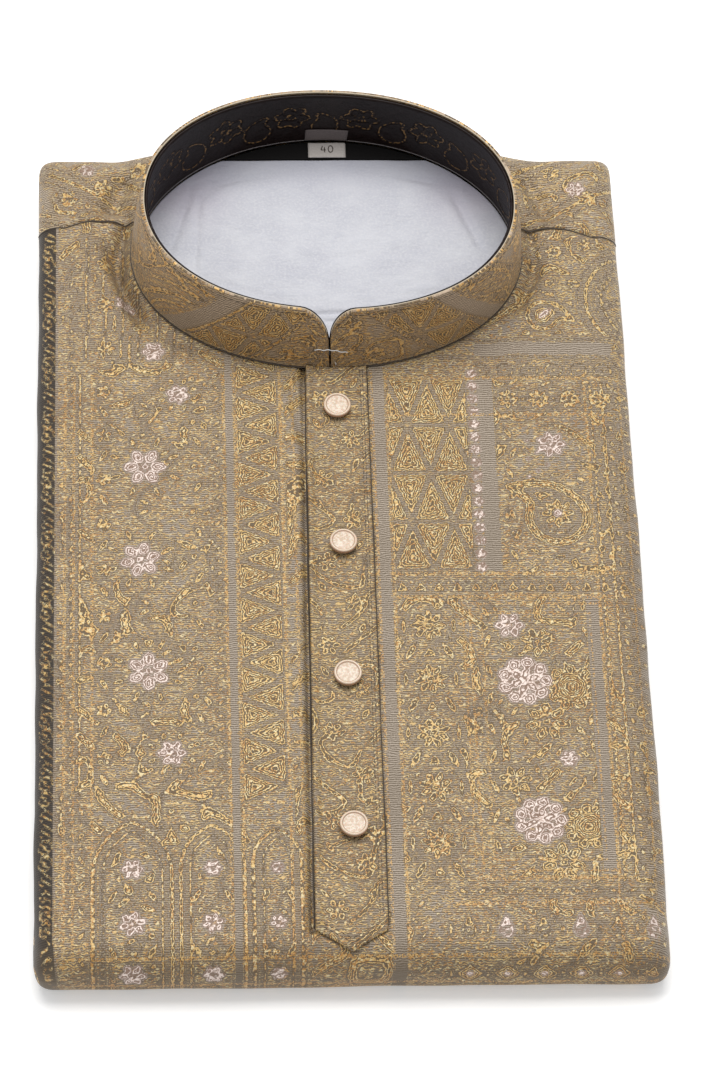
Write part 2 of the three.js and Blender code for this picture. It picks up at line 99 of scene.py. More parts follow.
# Finer creases and soft ridges of the worn-in folds, with the same columns
FINE_CREASES = [
    (-91, 168, 20, 68, 4.6, 4.6),
    (-87.5, 152, 26, 92, 3.4, 2.2),
    (-87.5, 139, 24, 92, 3.6, 5.5),
    (-87.4, 120, 38, 110, 3.2, 7.0),
    (-94, 126, 44, 108, 3.4, -1.8),
    (-84, 178, 18, 40, 3.0, 0.8),
    (91, 166, 26, 113, 3.8, 4.6),
    (86.5, 141, 24, 86, 3.2, 3.2),
    (83.5, 120, 30, 66, 3.2, 4.2),
    (80, 178, 18, 140, 3.0, 0.8),
    (-100, 150, 22, 75, 3.2, 0.5),
    (-88, 150, 24, 84, 3.0, 0.7),
    (-84, 128, 26, 118, 2.8, 0.6),
    (-78, 108, 24, 138, 3.0, 0.6),
    (-66, 92, 22, 152, 3.2, 0.5),
    (92, 150, 20, 100, 3.0, 0.7),
    (88, 124, 26, 66, 3.0, 0.6),
    (76, 104, 26, 40, 2.8, 0.5),
    (62, 90, 22, 28, 3.2, 0.45),
    (92, 92, 30, 14, 3.5, -0.4),
    (-16.4, 54, 40, 97, 1.5, 1.2),
    (-20, 8, 16, 60, 3.5, 0.3),
    (-22, -40, 18, 118, 3.5, 0.25),
    (22, -74, 18, 58, 3.5, 0.3),
    (-24, -120, 16, 70, 3.5, 0.25),
    (24, -150, 18, 112, 3.5, 0.25),
    (-96, 60, 60, 88, 7, 0.3),
    (95, -60, 70, 92, 8, 0.25),
    (-40, -170, 50, 8, 5, 0.25),
    (60, -178, 50, 174, 5, 0.25),
]

# The lining's creases, with the same columns
LINING_CREASES = [
    (-50, 168, 44, 38, 3.0, 0.5),
    (-56, 160, 40, 62, 2.4, 0.4),
    (48, 168, 46, 142, 3.0, 0.5),
    (56, 158, 36, 118, 2.4, 0.4),
    (-30, 174, 40, 12, 2.6, 0.35),
    (34, 175, 40, 168, 2.6, 0.35),
    (0, 120, 70, 10, 9, 0.25),
    (-20, 100, 40, 150, 8, 0.2),
    (-2, 105.2, 44, 2, 1.1, 1.3),
    (-4, 101.4, 40, -1, 1.0, 1.0),
    (-64, 152, 34, 72, 1.8, 1.5),
    (-57, 144, 40, 86, 1.5, 0.9),
    (-44, 172, 34, 10, 1.6, 0.8),
    (60, 152, 34, 112, 1.8, 1.3),
    (44, 172, 30, 172, 1.6, 0.8),
    (36, 112, 46, 24, 2.2, 0.6),
    (-34, 116, 40, 158, 2.2, 0.5),
    (10, 134, 60, 6, 2.6, 0.3),
    (28, 148, 34, 38, 2.2, 0.3),
]

# The fold's section: level, side, near, far level, far
FOLD_RINGS = [
    (26, 0, 0, 26, 0),
    (25.2, 5, 5.2, 25.2, 5),
    (22.4, 9, 10, 22.4, 9.4),
    (18.6, 10.8, 12.8, 18.6, 11.6),
    (15, 9.7, 13.8, 15.5, 12),
    (13.4, 7, 14, 13.2, 11.9),
    (11.8, 9.8, 14, 11.6, 11.5),
    (9.8, 9.8, 13.9, 10.4, 10.9),
    (8.6, 7.3, 13.8, 9.5, 10.2),
    (6.2, 10.6, 13.2, 8.9, 9.4),
    (2.2, 10.2, 11.2, 8.5, 8.6),
    (0, 7, 8, 8.3, 7.8),
    (0, 0, 0, 8.3, 7),
]

# The same for the layers inside, below the top, with the two hems at the far end
LAYER_RINGS = [
    (16.5, 6.6, 11.6, 15, 9.6),
    (13.6, 5, 12, 11.9, 9),
    (11, 5, 12, 10.3, 6.2),
    (8.6, 5, 11.8, 7.9, 6),
    (6.4, 5, 11, 7.8, 7.6),
    (4.6, 4.8, 9.8, 4.9, 7.7),
    (3.2, 4.2, 8.4, 4.4, 4.6),
    (2.2, 2.8, 5, 3.9, 7.2),
    (1.7, -0.7, -0.7, 0.6, 7.3),
    (0.05, -0.8, -0.8, 0.05, 6),
]


def smooth_step(low, high, value):
    t = np.clip((value - low) / (high - low), 0, 1)
    return t * t * (3 - 2 * t)


def mix(a, b, t):
    return a + (b - a) * t


def hill(off, width):
    """1 in the middle, falling softly to 0 over about the width."""
    return np.exp(-((off / width) ** 2))


def unit(a):
    return a / np.maximum(np.linalg.norm(a, axis=-1, keepdims=True), 1e-9)


def distances(path):
    """The way gone along a path, at each of its points."""
    return np.concatenate([[0], np.cumsum(np.linalg.norm(np.diff(path, axis=0), axis=-1))])


def waves(a, b, seed):
    """A smooth uneven value from about -1 to 1, the same on each run."""
    slow = np.sin(a / 23 + b / 31 + seed) + 0.7 * np.sin(a / 11 - b / 17 + 2.3 * seed)
    return (slow + 0.5 * np.sin(a / 6.1 + b / 7.7 + 4.1 * seed)) / 2.2


def seam_y(x):
    dip = 2.6 * smooth_step(98, 80, np.abs(x))
    return SEAM_Y - SEAM_DROP * smooth_step(*SEAM_BEND, np.abs(x)) - SEAM_SLANT * x - dip


def in_oval(x, y):
    """A place measured from the collar's middle, so that the collar's foot is at 1."""
    return (x - BASE["x"]) / BASE["across"], (y - BASE["y"]) / BASE["along"]


def crease_depth(x, y, creases):
    depth = 0.0 * x
    for cx, cy, length, angle, half_width, deep in creases:
        a = math.radians(angle)
        along = ((x - cx) * math.cos(a) + (y - cy) * math.sin(a)) / (length / 2)
        across = ((y - cy) * math.cos(a) - (x - cx) * math.sin(a)) / half_width
        depth = depth + deep * np.exp(-(across**2) - np.abs(along) ** 4)
    return depth


def top_height(x, y, fine=True):
    away = np.hypot(*in_oval(x, y))
    back = np.clip((1 + in_oval(x, y)[1]) / 2, 0, 1)
    rise = NECK_RISE * back**NECK_RISE_POWER * (1 - smooth_step(*NECK_RISE_EDGE, away))
    clear = smooth_step(*CREASE_START, away)
    z = STACK - CROWN * (x / SIDE_CORE) ** 2 + rise - clear * crease_depth(x, y, CREASES)
    if fine:
        z = z - clear * crease_depth(x, y, FINE_CREASES) + 0.12 * waves(x, y, 1.7) * clear
    return z


def far_core(x):
    t = np.clip(x / BACK_BULGE_HALF_WIDTH, -1, 1)
    return FAR_CORE + BACK_BULGE * np.cos(t * math.pi / 2) ** 2


def smoothed(rings, times):
    """The section with points between its rings, on a soft curve."""
    rings = np.array(rings, float)
    first = 2 * rings[0] - rings[1]
    first[[0, 3]] = rings[0][[0, 3]]
    p = np.vstack([first, rings, rings[-1:]])
    made = []
    for i in range(1, len(p) - 2):
        for t in np.arange(times) / times:
            a = 2 * p[i]
            b = (p[i + 1] - p[i - 1]) * t
            c = (2 * p[i - 1] - 5 * p[i] + 4 * p[i + 1] - p[i + 2]) * t**2
            d = (3 * p[i] - p[i - 1] - 3 * p[i + 1] + p[i + 2]) * t**3
            made.append((a + b + c + d) / 2)
    made = np.array([*made, p[-2]])
    made[:, [0, 3]] = np.clip(made[:, [0, 3]], 0.0, STACK)
    return made


# Meshes


def stations(columns, ys, end):
    """Places round a U-shaped outline: x, y, way out in x and y, and how far it has turned to the end."""
    sign = -1 if end == "near" else 1
    corner = []
    for t in np.arange(1, 10) / 10:
        angle = t * math.pi / 2
        corner.append((math.cos(angle) ** CORNER_POWER, sign * math.sin(angle) ** CORNER_POWER, t))
    made = [(-SIDE_CORE, y, -1, 0, 0) for y in ys]
    made += [(-SIDE_CORE, ys[-1], -a, b, t) for a, b, t in corner]
    made += [(x, ys[-1] if end == "near" else far_core(x), 0, sign, 1) for x in columns]
    made += [(SIDE_CORE, ys[-1], a, b, t) for a, b, t in corner[::-1]]
    made += [(SIDE_CORE, y, 1, 0, 0) for y in ys[::-1]]
    return np.array(made, float)


def fold_strip(at, rings, end):
    """Points of the rings at each station, and their places on the cloth."""
    x, y, out_x, out_y, turn = at.T
    high = top_height(x, y, False)
    roll = smooth_step(*ROLL_FADE, y) if end == "near" else 0 * y
    way = np.hypot(out_x, out_y)
    points, cloth, run = [], [], 0 * x
    for level, side, near, far_level, far in rings:
        side = mix(side, near * SIDE_FOLD / NEAR_FOLD, roll)
        out, end_level = (near, level) if end == "near" else (far, far_level)
        wobble = 0.35 * waves(y * 1.3 + x, 4 * level + 0 * y, 0.9) * (0.3 < level < STACK - 0.5)
        z = mix(level, end_level, turn) * high / STACK
        row = np.stack([x + (side + wobble) * out_x, y + (out + wobble) * out_y, z], -1)
        if points:
            run = run + np.linalg.norm(row - points[-1], axis=-1)
        points.append(row)
        cloth.append(np.stack([x + run * out_x / way, y + run * out_y / way], -1))
    return np.array(points), np.array(cloth)


def grid_faces(ids):
    return np.stack([ids[:-1, :-1], ids[:-1, 1:], ids[1:, 1:], ids[1:, :-1]], -1).reshape(-1, 4)


def ring_faces(ids):
    """Faces of a grid of vertices whose last column meets its first."""
    return grid_faces(np.column_stack([ids, ids[:, :1]]))


def weld(patches, keep=None):
    """Grids of points and cloth places joined into one list of vertices, their places and faces."""
    points = np.concatenate([p.reshape(-1, 3) for p, _ in patches])
    cloth = np.concatenate([c.reshape(-1, 2) for _, c in patches])
    _, first, index = np.unique(np.round(points, 3), axis=0, return_index=True, return_inverse=True)
    index = index.reshape(-1)
    faces, start = [], 0
    for p, _ in patches:
        size = p.shape[0] * p.shape[1]
        faces.append(grid_faces(index[start : start + size].reshape(p.shape[:2])))
        start += size
    faces = np.concatenate(faces)
    points = points[first]
    if keep is not None:
        faces = faces[keep(points[faces].mean(1))]
    rings = [[v for i, v in enumerate(face) if v != face[i - 1]] for face in faces.tolist()]
    return points, cloth[first], [ring for ring in rings if len(set(ring)) == len(ring) and len(ring) > 2]


def mesh(name, points, faces, material):
    """A mesh object from points in millimetres, and which points its faces use. The others are left out."""
    used = np.unique(np.concatenate([np.array(f) for f in faces]))
    number = np.full(len(points), -1)
    number[used] = np.arange(len(used))
    data = bpy.data.meshes.new(name)
    data.from_pydata((points[used] / 1000).tolist(), [], [[int(number[v]) for v in f] for f in faces])
    data.polygons.foreach_set("use_smooth", [True] * len(data.polygons))
    data.materials.append(material)
    data.update()
    made = bpy.data.objects.new(name, data)
    bpy.context.scene.collection.objects.link(made)
    return made, used


def give(piece, name, values):
    """A named value at each vertex: one number, or three."""
    values = np.asarray(values, np.float32)
    kind = "FLOAT" if values.ndim == 1 else "FLOAT_VECTOR"
    layer = piece.data.attributes.new(name, kind, "POINT")
    layer.data.foreach_set("value" if kind == "FLOAT" else "vector", values.ravel())


def ride(piece, node=None):
    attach(piece, "root")
    if node:
        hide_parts(node)


def bake_map(piece, places, side=None):
    """A flat map of the cloth from each vertex's place on it, a sheet's back beside its front."""
    if side is not None:
        wide, tall = np.ptp(places, axis=0)
        step = np.array([0, tall + 4]) if wide > tall else np.array([wide + 4, 0])
        places = places + np.where(side[:, None] == 1, step, 0) + np.where(side[:, None] == 0.5, -0.6, 0)
    low, high = places.min(0), places.max(0)
    flat = 0.004 + 0.992 * (places - low) / (high - low)
    loops = np.zeros(len(piece.data.loops), int)
    piece.data.loops.foreach_get("vertex_index", loops)
    layer = piece.data.uv_layers.new(name="OFBake")
    layer.data.foreach_set("uv", flat[loops].astype(np.float32).ravel())


def cloth_piece(name, made, material, shift, values=None, mapped=True):
    """A cloth's mesh. made is its points, cloth places and faces, and for a closed sheet each point's side.

    Each vertex gets its place, moved by the shift so that no two pieces share their noise, and the values
    that values(u, v) works out for it.
    """
    points, places, faces, *side = made
    piece, used = mesh(name, points, faces, material)
    u, v = places[used].T
    give(piece, "cloth", np.stack([u, v, 0 * u + shift], -1))
    for key, value in (values(u, v) if values else {}).items():
        give(piece, key, value + 0 * u)
    if mapped:
        bake_map(piece, places[used], *side)
    return piece


def woven(gold, crowd, silver=9.0, dark=-9.0):
    return {"gold": gold, "silver": silver, "crowd": crowd, "dark": dark}


def grid_normals(grid):
    return unit(np.cross(np.gradient(grid, axis=1), np.gradient(grid, axis=0)))


def thick_sheet(grid, cloth, thick, swell=0.3):
    """A closed sheet with the grid as its outer face and softly rounded edges."""

    def loop(a):
        return np.concatenate([a[0, :-1], a[:-1, -1], a[-1, :0:-1], a[:0:-1, 0]])

    inner = grid - thick * grid_normals(grid)
    outward = grid.copy()
    outward[0] += grid[0] - grid[1]
    outward[-1] += grid[-1] - grid[-2]
    outward[:, 0] += grid[:, 0] - grid[:, 1]
    outward[:, -1] += grid[:, -1] - grid[:, -2]
    middle = (loop(grid) + loop(inner)) / 2 + swell * thick * unit(loop(outward - grid))
    count = grid.shape[0] * grid.shape[1]
    ids = np.arange(count).reshape(grid.shape[:2])
    edge = loop(ids)
    outer = grid_faces(ids)
    around = ring_faces(np.stack([edge, 2 * count + np.arange(len(edge)), edge + count]))
    points = np.concatenate([grid.reshape(-1, 3), inner.reshape(-1, 3), middle])
    places = np.concatenate([cloth.reshape(-1, 2), cloth.reshape(-1, 2), loop(cloth)])
    faces = np.concatenate([outer, (outer + count)[:, ::-1], around[:, ::-1]])
    side = np.repeat([0, 1, 0.5], [count, count, len(edge)])
    return points, places, faces.tolist(), side


# Materials


class Wire:
    """A node's output. Its arithmetic adds nodes."""

    def __init__(self, shader, socket):
        self.shader, self.socket = shader, socket

    def math(self, operation, *others):
        return self.shader.math(operation, self, *others)

    def __add__(self, other):
        return self.math("ADD", other)

    def __sub__(self, other):
        return self.math("SUBTRACT", other)

    def __rsub__(self, other):
        return self.shader.math("SUBTRACT", other, self)

    def __mul__(self, other):
        return self.math("MULTIPLY", other)

    def __truediv__(self, other):
        return self.math("DIVIDE", other)

    def __abs__(self):
        return self.math("ABSOLUTE")

    def sine(self):
        return self.math("SINE")

    def most(self, other):
        return self.math("MAXIMUM", other)

    def least(self, other):
        return self.math("MINIMUM", other)

    def step(self, start, stop):
        """A soft step from 0 at the start to 1 at the stop, which may be the lower of the two."""
        if start > stop:
            return 1.0 - self.step(stop, start)
        node = self.shader.node("MapRange", self)
        node.interpolation_type = "SMOOTHSTEP"
        node.inputs["From Min"].default_value = start
        node.inputs["From Max"].default_value = stop
        return Wire(self.shader, node.outputs["Result"])

    def lines(self, low, high, spans):
        """1 within each span of the value and 0 elsewhere."""
        node = self.shader.node("ValToRGB", (self - low) / (high - low))
        ramp = node.color_ramp
        ramp.interpolation = "CONSTANT"
        stops = [(0.0, 0)]
        for start, stop in sorted(spans):
            stops += [((start - low) / (high - low), 1), ((stop - low) / (high - low), 0)]
        for i, (position, on) in enumerate(stops):
            element = ramp.elements[i] if i < 2 else ramp.elements.new(position)
            element.position = position
            element.color = (on, on, on, 1)
        return Wire(self.shader, node.outputs[0])


class Shader:
    """A material, and its noise over the places that its cloth has."""

    def __init__(self, name, places="cloth"):
        self.material = bpy.data.materials.new(name)
        self.material.use_nodes = True
        self.tree = self.material.node_tree
        self.surface = self.tree.nodes["Principled BSDF"]
        self.here = self.value(places, "Vector")

    def put(self, value, socket):
        if isinstance(value, Wire):
            self.tree.links.new(value.socket, socket)
        elif isinstance(value, tuple) and socket.type == "RGBA":
            socket.default_value = (*value, 1)
        else:
            socket.default_value = value

    def node(self, kind, *values):
        node = self.tree.nodes.new("ShaderNode" + kind)
        for value, socket in zip(values, node.inputs):
            self.put(value, socket)
        return node

    def math(self, operation, *values):
        node = self.node("Math", *values)
        node.operation = operation
        return Wire(self, node.outputs[0])

    def value(self, name, output="Fac"):
        node = self.node("Attribute")
        node.attribute_name = name
        return Wire(self, node.outputs[output])

    def parts(self, vector):
        return [Wire(self, socket) for socket in self.node("SeparateXYZ", vector).outputs]

    def scaled(self, across, along, out=1.0):
        node = self.node("VectorMath", self.here, (across, along, out))
        node.operation = "MULTIPLY"
        return Wire(self, node.outputs[0])

    def noise(self, scale, detail=0.0):
        node = self.node("TexNoise")
        self.put(self.scaled(*scale), node.inputs["Vector"])
        node.inputs["Scale"].default_value = 1.0
        node.inputs["Detail"].default_value = detail
        return Wire(self, node.outputs["Fac"])

    def cells(self, scale, randomness):
        node = self.node("TexVoronoi")
        self.put(self.scaled(*scale), node.inputs["Vector"])
        node.inputs["Scale"].default_value = 1.0
        node.inputs["Randomness"].default_value = randomness
        return Wire(self, node.outputs["Distance"]), Wire(self, node.outputs["Color"])

    def blend(self, factor, a, b):
        node = self.node("Mix")
        node.data_type = "RGBA"
        for index, value in ((0, factor), (6, a), (7, b)):
            self.put(value, node.inputs[index])
        return Wire(self, node.outputs[2])

    def bump(self, height, distance, strength):
        node = self.node("Bump")
        self.put(height, node.inputs["Height"])
        node.inputs["Distance"].default_value = distance
        node.inputs["Strength"].default_value = strength
        self.tree.links.new(node.outputs[0], self.surface.inputs["Normal"])

    def set(self, **values):
        for name, value in values.items():
            self.put(value, self.surface.inputs[name.replace("_", " ")])


def srgb(r, g, b):
    """A colour given as it shows on a screen, 0 to 255."""
    return tuple(c / 255 / 12.92 if c / 255 <= 0.04045 else ((c / 255 + 0.055) / 1.055) ** 2.4 for c in (r, g, b))


GROUND = srgb(172, 158, 142)
GROUND_DARK = srgb(94, 79, 59)
GOLD = srgb(208, 174, 110)
# The next colour is painted glints on the gold loops.
GOLD_GLINT = srgb(214, 196, 150)
RICH_GOLD = srgb(222, 160, 72)
GOLD_DEEP = srgb(174, 128, 68)
LOOP_GAP = srgb(98, 76, 46)
SILVER = srgb(222, 204, 194)
SILVER_DEEP = srgb(186, 164, 152)
BROWN = srgb(120, 90, 68)
BAND = srgb(62, 51, 38)
BAND_DARK = srgb(30, 22, 15)
RIB = 0.96
LOOP = 0.92


def brocade(name, rows=(), columns=(), boxes=(), tint=GROUND, rich=0.0):
    """Ribbed taupe cloth with figures in rows of small gold and silver loops.

    The vertex values gold and silver are distances to the figures' edges, negative inside. crowd is how much
    the ground is strewn with loops, dark the distance into the dark side band, and across and along say
    where the straight lines show.
    """
    s = Shader(name)
    u, v, _ = s.parts(s.here)
    gold_edge, silver_edge, crowd = s.value("gold"), s.value("silver"), s.value("crowd")
    dark = s.value("dark").step(-0.15, 0.15)

    sway = s.noise((0.42, 0.42)) - 0.5
    speck = s.noise((1.8, 2.0)) - 0.5
    bend = s.noise((0.5, 0.55)) - 0.5
    patch = s.noise((0.022, 0.03), 2.0)
    thread = s.noise((0.5, 1.9), 1.0)
    cell, tone = s.cells((1.15, 1.3), 0.9)
    tone_r, tone_g, tone_b = s.parts(tone)
    bead = 1.0 - cell.step(0.22, 0.6)
    rib = (v * (2 * math.pi / RIB) + sway * 6.0).sine()
    rib_high = (rib + speck * 2.4).step(-0.8, 0.6)

    def rows_of_loops(edge):
        turn = edge * (2 * math.pi / LOOP) + bend * 9.0
        return (turn.sine() * 0.75 + speck * 2.4 + dark * 0.5).step(-0.3, 0.3)

    def within(edge):
        return 1.0 - (edge + speck * (2.0 - dark * 1.8)).step(-0.4, 0.2)

    gold_in, silver_in = within(gold_edge), within(silver_edge)
    gold_rows, silver_rows = rows_of_loops(gold_edge), rows_of_loops(silver_edge)

    # Small crooked strokes strewn over the ground, and close round the figures
    scatter = s.noise((0.4, 0.44), 1.0) + crowd * 0.3
    worms = (v * 5.6 + bend * 14.0).sine()
    loops = (worms * 0.8 + speck * 2.0).step(-0.2, 0.35)
    near = gold_edge.least(silver_edge).step(0.2, 0.8)
    halo = (gold_edge + sway * 4.0).step(3.4, 1.0) * crowd.step(-0.1, 0.15)
    strewn_part = scatter.step(0.54, 0.64).most(halo) * near
    strewn = strewn_part * loops

    # Straight lines of beads
    line = None
    if columns:
        line = u.lines(-160, 160, columns) * s.value("along")
        line = line.most(v.lines(-240, 160, rows) * s.value("across"))
        for x, y, half_x, half_y, insets in boxes:
            off = (abs(u - x) - half_x).most(abs(v - y) - half_y)
            line = line.most(off.lines(-20, 10, insets))
        line = line * (bead + speck * 1.6).step(0.12, 0.4)

    ground = s.blend(rib_high * (thread * 0.5 + 0.72), GROUND_DARK, tint)
    ground = s.blend(patch.step(0.35, 0.7) * 0.2, ground, GROUND_DARK)
    ground = s.blend(strewn_part * 0.4, ground, LOOP_GAP)
    rim = gold_edge.step(-0.3, 0.3) * gold_edge.step(1.1, 0.4)
    ground = s.blend(rim * 0.3, ground, LOOP_GAP)
    ground = s.blend(dark, ground, s.blend(rib_high * (thread + 0.35), BAND_DARK, BAND))
    # Painted shade: the ground darkens towards the bottom of the near roll, where it turns under.
    ground = s.blend(v.step(-184.0, -214.0) * 0.95, ground, GROUND_DARK)
    # Random tone per loop and patch, and painted shade: the gold's tone deepens towards the near roll's bottom.
    orange = tone_r - (patch - 0.5) * 1.6 - v.step(-150.0, -215.0) * 0.16
    gold_tone = s.blend(orange.step(0.3, 0.44), GOLD_DEEP, GOLD)
    # Painted glints: random loops turn paler gold, as if catching the light.
    gold_tone = s.blend(tone_g.step(0.7, 0.8), gold_tone, GOLD_GLINT)
    if rich:
        gold_tone = s.blend(rich, gold_tone, RICH_GOLD)
    silver_tone = s.blend(tone_b.step(0.15, 0.3), SILVER_DEEP, SILVER)
    gap = s.blend(dark, s.blend(tone_b.step(0.4, 0.6), LOOP_GAP, GROUND_DARK), BAND_DARK)

    colour = s.blend(strewn * 0.82, ground, gold_tone)
    # Painted shade: the gold deepens towards the bottom of the near roll.
    gold_tone = s.blend(v.step(-188.0, -218.0) * 0.55, gold_tone, GOLD_DEEP)
    colour = s.blend(gold_in * 0.94, colour, s.blend(gold_rows, gap, gold_tone))
    colour = s.blend(silver_in, colour, s.blend((silver_rows + 0.12).least(1.0), BROWN, silver_tone))
    raised = (gold_in * gold_rows).most(silver_in * (silver_rows + 0.12).least(1.0)).most(strewn * 0.8)
    if line:
        colour = s.blend(line * 0.9, colour, s.blend(0.5, gold_tone, GOLD_DEEP))
        raised = raised.most(line * 0.9)
    s.bump(raised * 0.75 + (rib_high * 0.35 + thread * 0.2), 0.00025, 0.8)
    s.set(Base_Color=colour, Roughness=0.6 - raised * 0.2, Metallic=raised * 0.15)
    s.set(Sheen_Weight=0.08, Sheen_Roughness=0.4)
    return s.material


def satin_lining():
    """Dark brown satin with faint gold figures."""
    s = Shader("collar satin")
    wander = s.noise((0.25, 0.25), 2.0)
    thread = s.noise((0.3, 3.2), 1.0)
    off = abs(s.value("gold") + (wander - 0.5) * 1.6)
    line = (1.0 - off.step(0.16, 0.5)) * s.noise((0.9, 0.9)).step(0.46, 0.6)
    base = s.blend(wander, srgb(20, 12, 11), srgb(37, 26, 24))
    base = s.blend(thread * 0.35, base, srgb(18, 11, 10))
    s.set(Base_Color=s.blend(line * 0.85, base, srgb(146, 112, 70)))
    s.set(Roughness=thread * 0.14 + 0.3, Specular_IOR_Level=0.14)
    s.bump(thread * 0.3 + (off.step(1.2, 0.2) * 1.4 + wander * 2.0), 0.0004, 0.7)
    return s.material


def white_lining():
    """Thin white felted cloth, a little blue, with fine mottling."""
    s = Shader("neck lining")
    u, v, _ = s.parts(s.here)
    fibre, cloud = s.noise((0.9, 1.1), 4.0), s.noise((0.05, 0.06), 3.0)
    crumple = s.noise((0.16, 0.3), 2.0)
    base = s.blend(cloud.step(0.3, 0.7), srgb(190, 191, 200), srgb(202, 203, 210))
    base = s.blend(fibre.step(0.42, 0.66) * 0.5, base, srgb(212, 212, 216))
    # Painted shade: greyer and a little purple towards the back corners and along the back edge, beside the collar's
    # wall.
    corner = abs(u).step(30.0, 66.0) * v.step(138.0, 176.0)
    base = s.blend(corner * 0.75, base, srgb(168, 158, 174))
    base = s.blend(v.step(158.0, 182.0) * 0.5, base, srgb(158, 158, 172))
    base = s.blend(crumple.step(0.5, 0.72) * 0.25, base, srgb(184, 186, 196))
    s.set(Base_Color=base, Roughness=0.85, Sheen_Weight=0.1)
    s.bump(fibre * 0.5 + crumple * 2.4 + cloud * 1.5, 0.0005, 0.6)
    return s.material


def label_tape():
    """Woven tape with darker edges."""
    s = Shader("label tape")
    u, v, _ = s.parts(s.here)
    weave = (v * (2 * math.pi / 0.7)).sine()
    fibre = s.noise((1.4, 1.4), 3.0)
    base = s.blend(fibre, srgb(176, 168, 162), srgb(206, 200, 196))
    base = s.blend((weave + 1.0) * 0.1, base, srgb(160, 152, 146))
    base = s.blend(abs(u).step(7.1, 7.6) * 0.5, base, srgb(168, 160, 154))
    s.set(Base_Color=base, Roughness=0.75, Sheen_Weight=0.1)
    s.bump(weave * 0.3 + fibre, 0.0002, 0.5)
    return s.material


def button_cream():
    """Cream plastic with a mottled face inside a smooth rim."""
    s = Shader("button cream", "turned")
    radius = s.value("radius")
    fleck, cloud = s.noise((1.1, 1.1, 1.1), 3.0), s.noise((0.35, 0.35, 0.35), 2.0)
    inside = 1.0 - radius.step(4.1, 4.6)
    base = s.blend(cloud, srgb(206, 180, 154), srgb(216, 198, 178))
    face = s.blend(fleck.step(0.38, 0.66), srgb(196, 170, 146), srgb(226, 214, 198))
    base = s.blend(inside * 0.85, base, face)
    # Painted shade: a brown line in the groove round the face, and a brown rim edge.
    groove = 1.0 - abs(radius - 4.55).step(0.05, 0.35)
    base = s.blend(groove * 0.6, base, srgb(150, 112, 84))
    base = s.blend(radius.step(5.45, 5.75) * 0.8, base, srgb(156, 110, 76))
    s.set(Base_Color=base, Roughness=inside * 0.2 + 0.3, Coat_Weight=0.25, Coat_Roughness=0.2)
    s.set(Subsurface_Weight=0.08, Subsurface_Scale=0.002)
    s.bump(fleck * inside, 0.0004, 0.6)
    return s.material


def plain_cloth(name, scale, detail, deep, light, relief=(0.0002, 0.5), places="cloth", **surface):
    """Cloth or thread of two near tones."""
    s = Shader(name, places)
    tone = s.noise(scale, detail)
    s.set(Base_Color=s.blend(tone, deep, light), **surface)
    s.bump(tone, *relief)
    return s.material


def sewing_thread(name, light, deep):
    looks = {"places": "turned", "Roughness": 0.55, "Sheen_Weight": 0.2}
    return plain_cloth(name, (3.0, 3.0, 3.0), 1.0, deep, light, (0.0001, 0.6), **looks)


# Figures of the weave, as distances in millimetres that are negative inside


def least(*figures):
    return np.minimum.reduce(figures)


def turned(u, v, x, y, degrees):
    a = math.radians(degrees)
    du, dv = u - x, v - y
    return du * math.cos(a) + dv * math.sin(a), dv * math.cos(a) - du * math.sin(a)


def disc(u, v, x, y, radius):
    return np.hypot(u - x, v - y) - radius


def leaf(u, v, x, y, length, width, degrees):
    a, b = turned(u, v, x, y, degrees)
    radius = (length**2 + width**2) / (4 * width)
    return np.hypot(a, np.abs(b) + radius - width / 2) - radius


def leaf_ring(u, v, x, y, reach_x, reach_y, first, pitch, count, length, width, lean=0.0):
    made = []
    for k in range(count):
        angle = first + pitch * k
        a = math.radians(angle)
        made.append(leaf(u, v, x + reach_x * math.cos(a), y + reach_y * math.sin(a), length, width, angle + lean))
    return least(*made)


def leaf_rows(u, v, rows):
    d = np.full_like(u, 9.0)
    for x, y, step_x, step_y, count, length, width, even, odd, move in rows:
        for k in range(count):
            here = x + step_x * k + move * (k % 2), y + step_y * k
            d = np.minimum(d, leaf(u, v, *here, length, width, odd if k % 2 else even))
    return d


def wedge(u, v, x, y, half, height, degrees):
    """A triangle with its base's middle at x, y, pointing along the turned upward way."""
    a, b = turned(u, v, x, y, degrees)
    return np.maximum(-b, (np.abs(a) * height + (b - height) * half) / math.hypot(height, half))


def blossom(u, v, x, y, radius, petals, degrees=0.0):
    width = 2 * 0.6 * radius * math.sin(math.pi / petals) * 0.9
    reach = 0.62 * radius
    ring = leaf_ring(u, v, x, y, reach, reach, degrees, 360 / petals, petals, 0.76 * radius, width)
    return np.minimum(disc(u, v, x, y, radius * 0.17), ring) - 0.3


def full_blossom(u, v, x, y, radius, petals, degrees=0.0):
    """Two rings of petals round a middle."""
    d = disc(u, v, x, y, radius * 0.12)
    for far, size, count, twist in [(0.34, 0.3, petals - 3, 20), (0.74, 0.24, petals, 0)]:
        width = 2 * far * radius * math.sin(math.pi / count)
        for k in range(count):
            angle = degrees + twist + 360 * k / count
            a = math.radians(angle)
            b, c = turned(u, v, x + far * radius * math.cos(a), y + far * radius * math.sin(a), angle)
            d = np.minimum(d, (np.hypot(b / size / radius, 2 * c / width) - 1) * min(size * radius, width / 2))
    return d - 0.25


def paisley(u, v, x, y, radius, degrees, hand=1):
    """A round body that narrows into a curled tip."""
    a, b = turned(u, v, x, y, degrees)
    d = np.full_like(u, 99.0)
    for t in np.linspace(0, 1, 16):
        cx = hand * radius * 0.62 * (1 - math.cos(math.radians(150 * t))) * t
        cy = radius * 1.75 * t * (1 - 0.22 * t)
        d = np.minimum(d, np.hypot(a - cx, b - cy) - radius * (1 - t) ** 0.8 * 0.92 - 0.5)
    return d


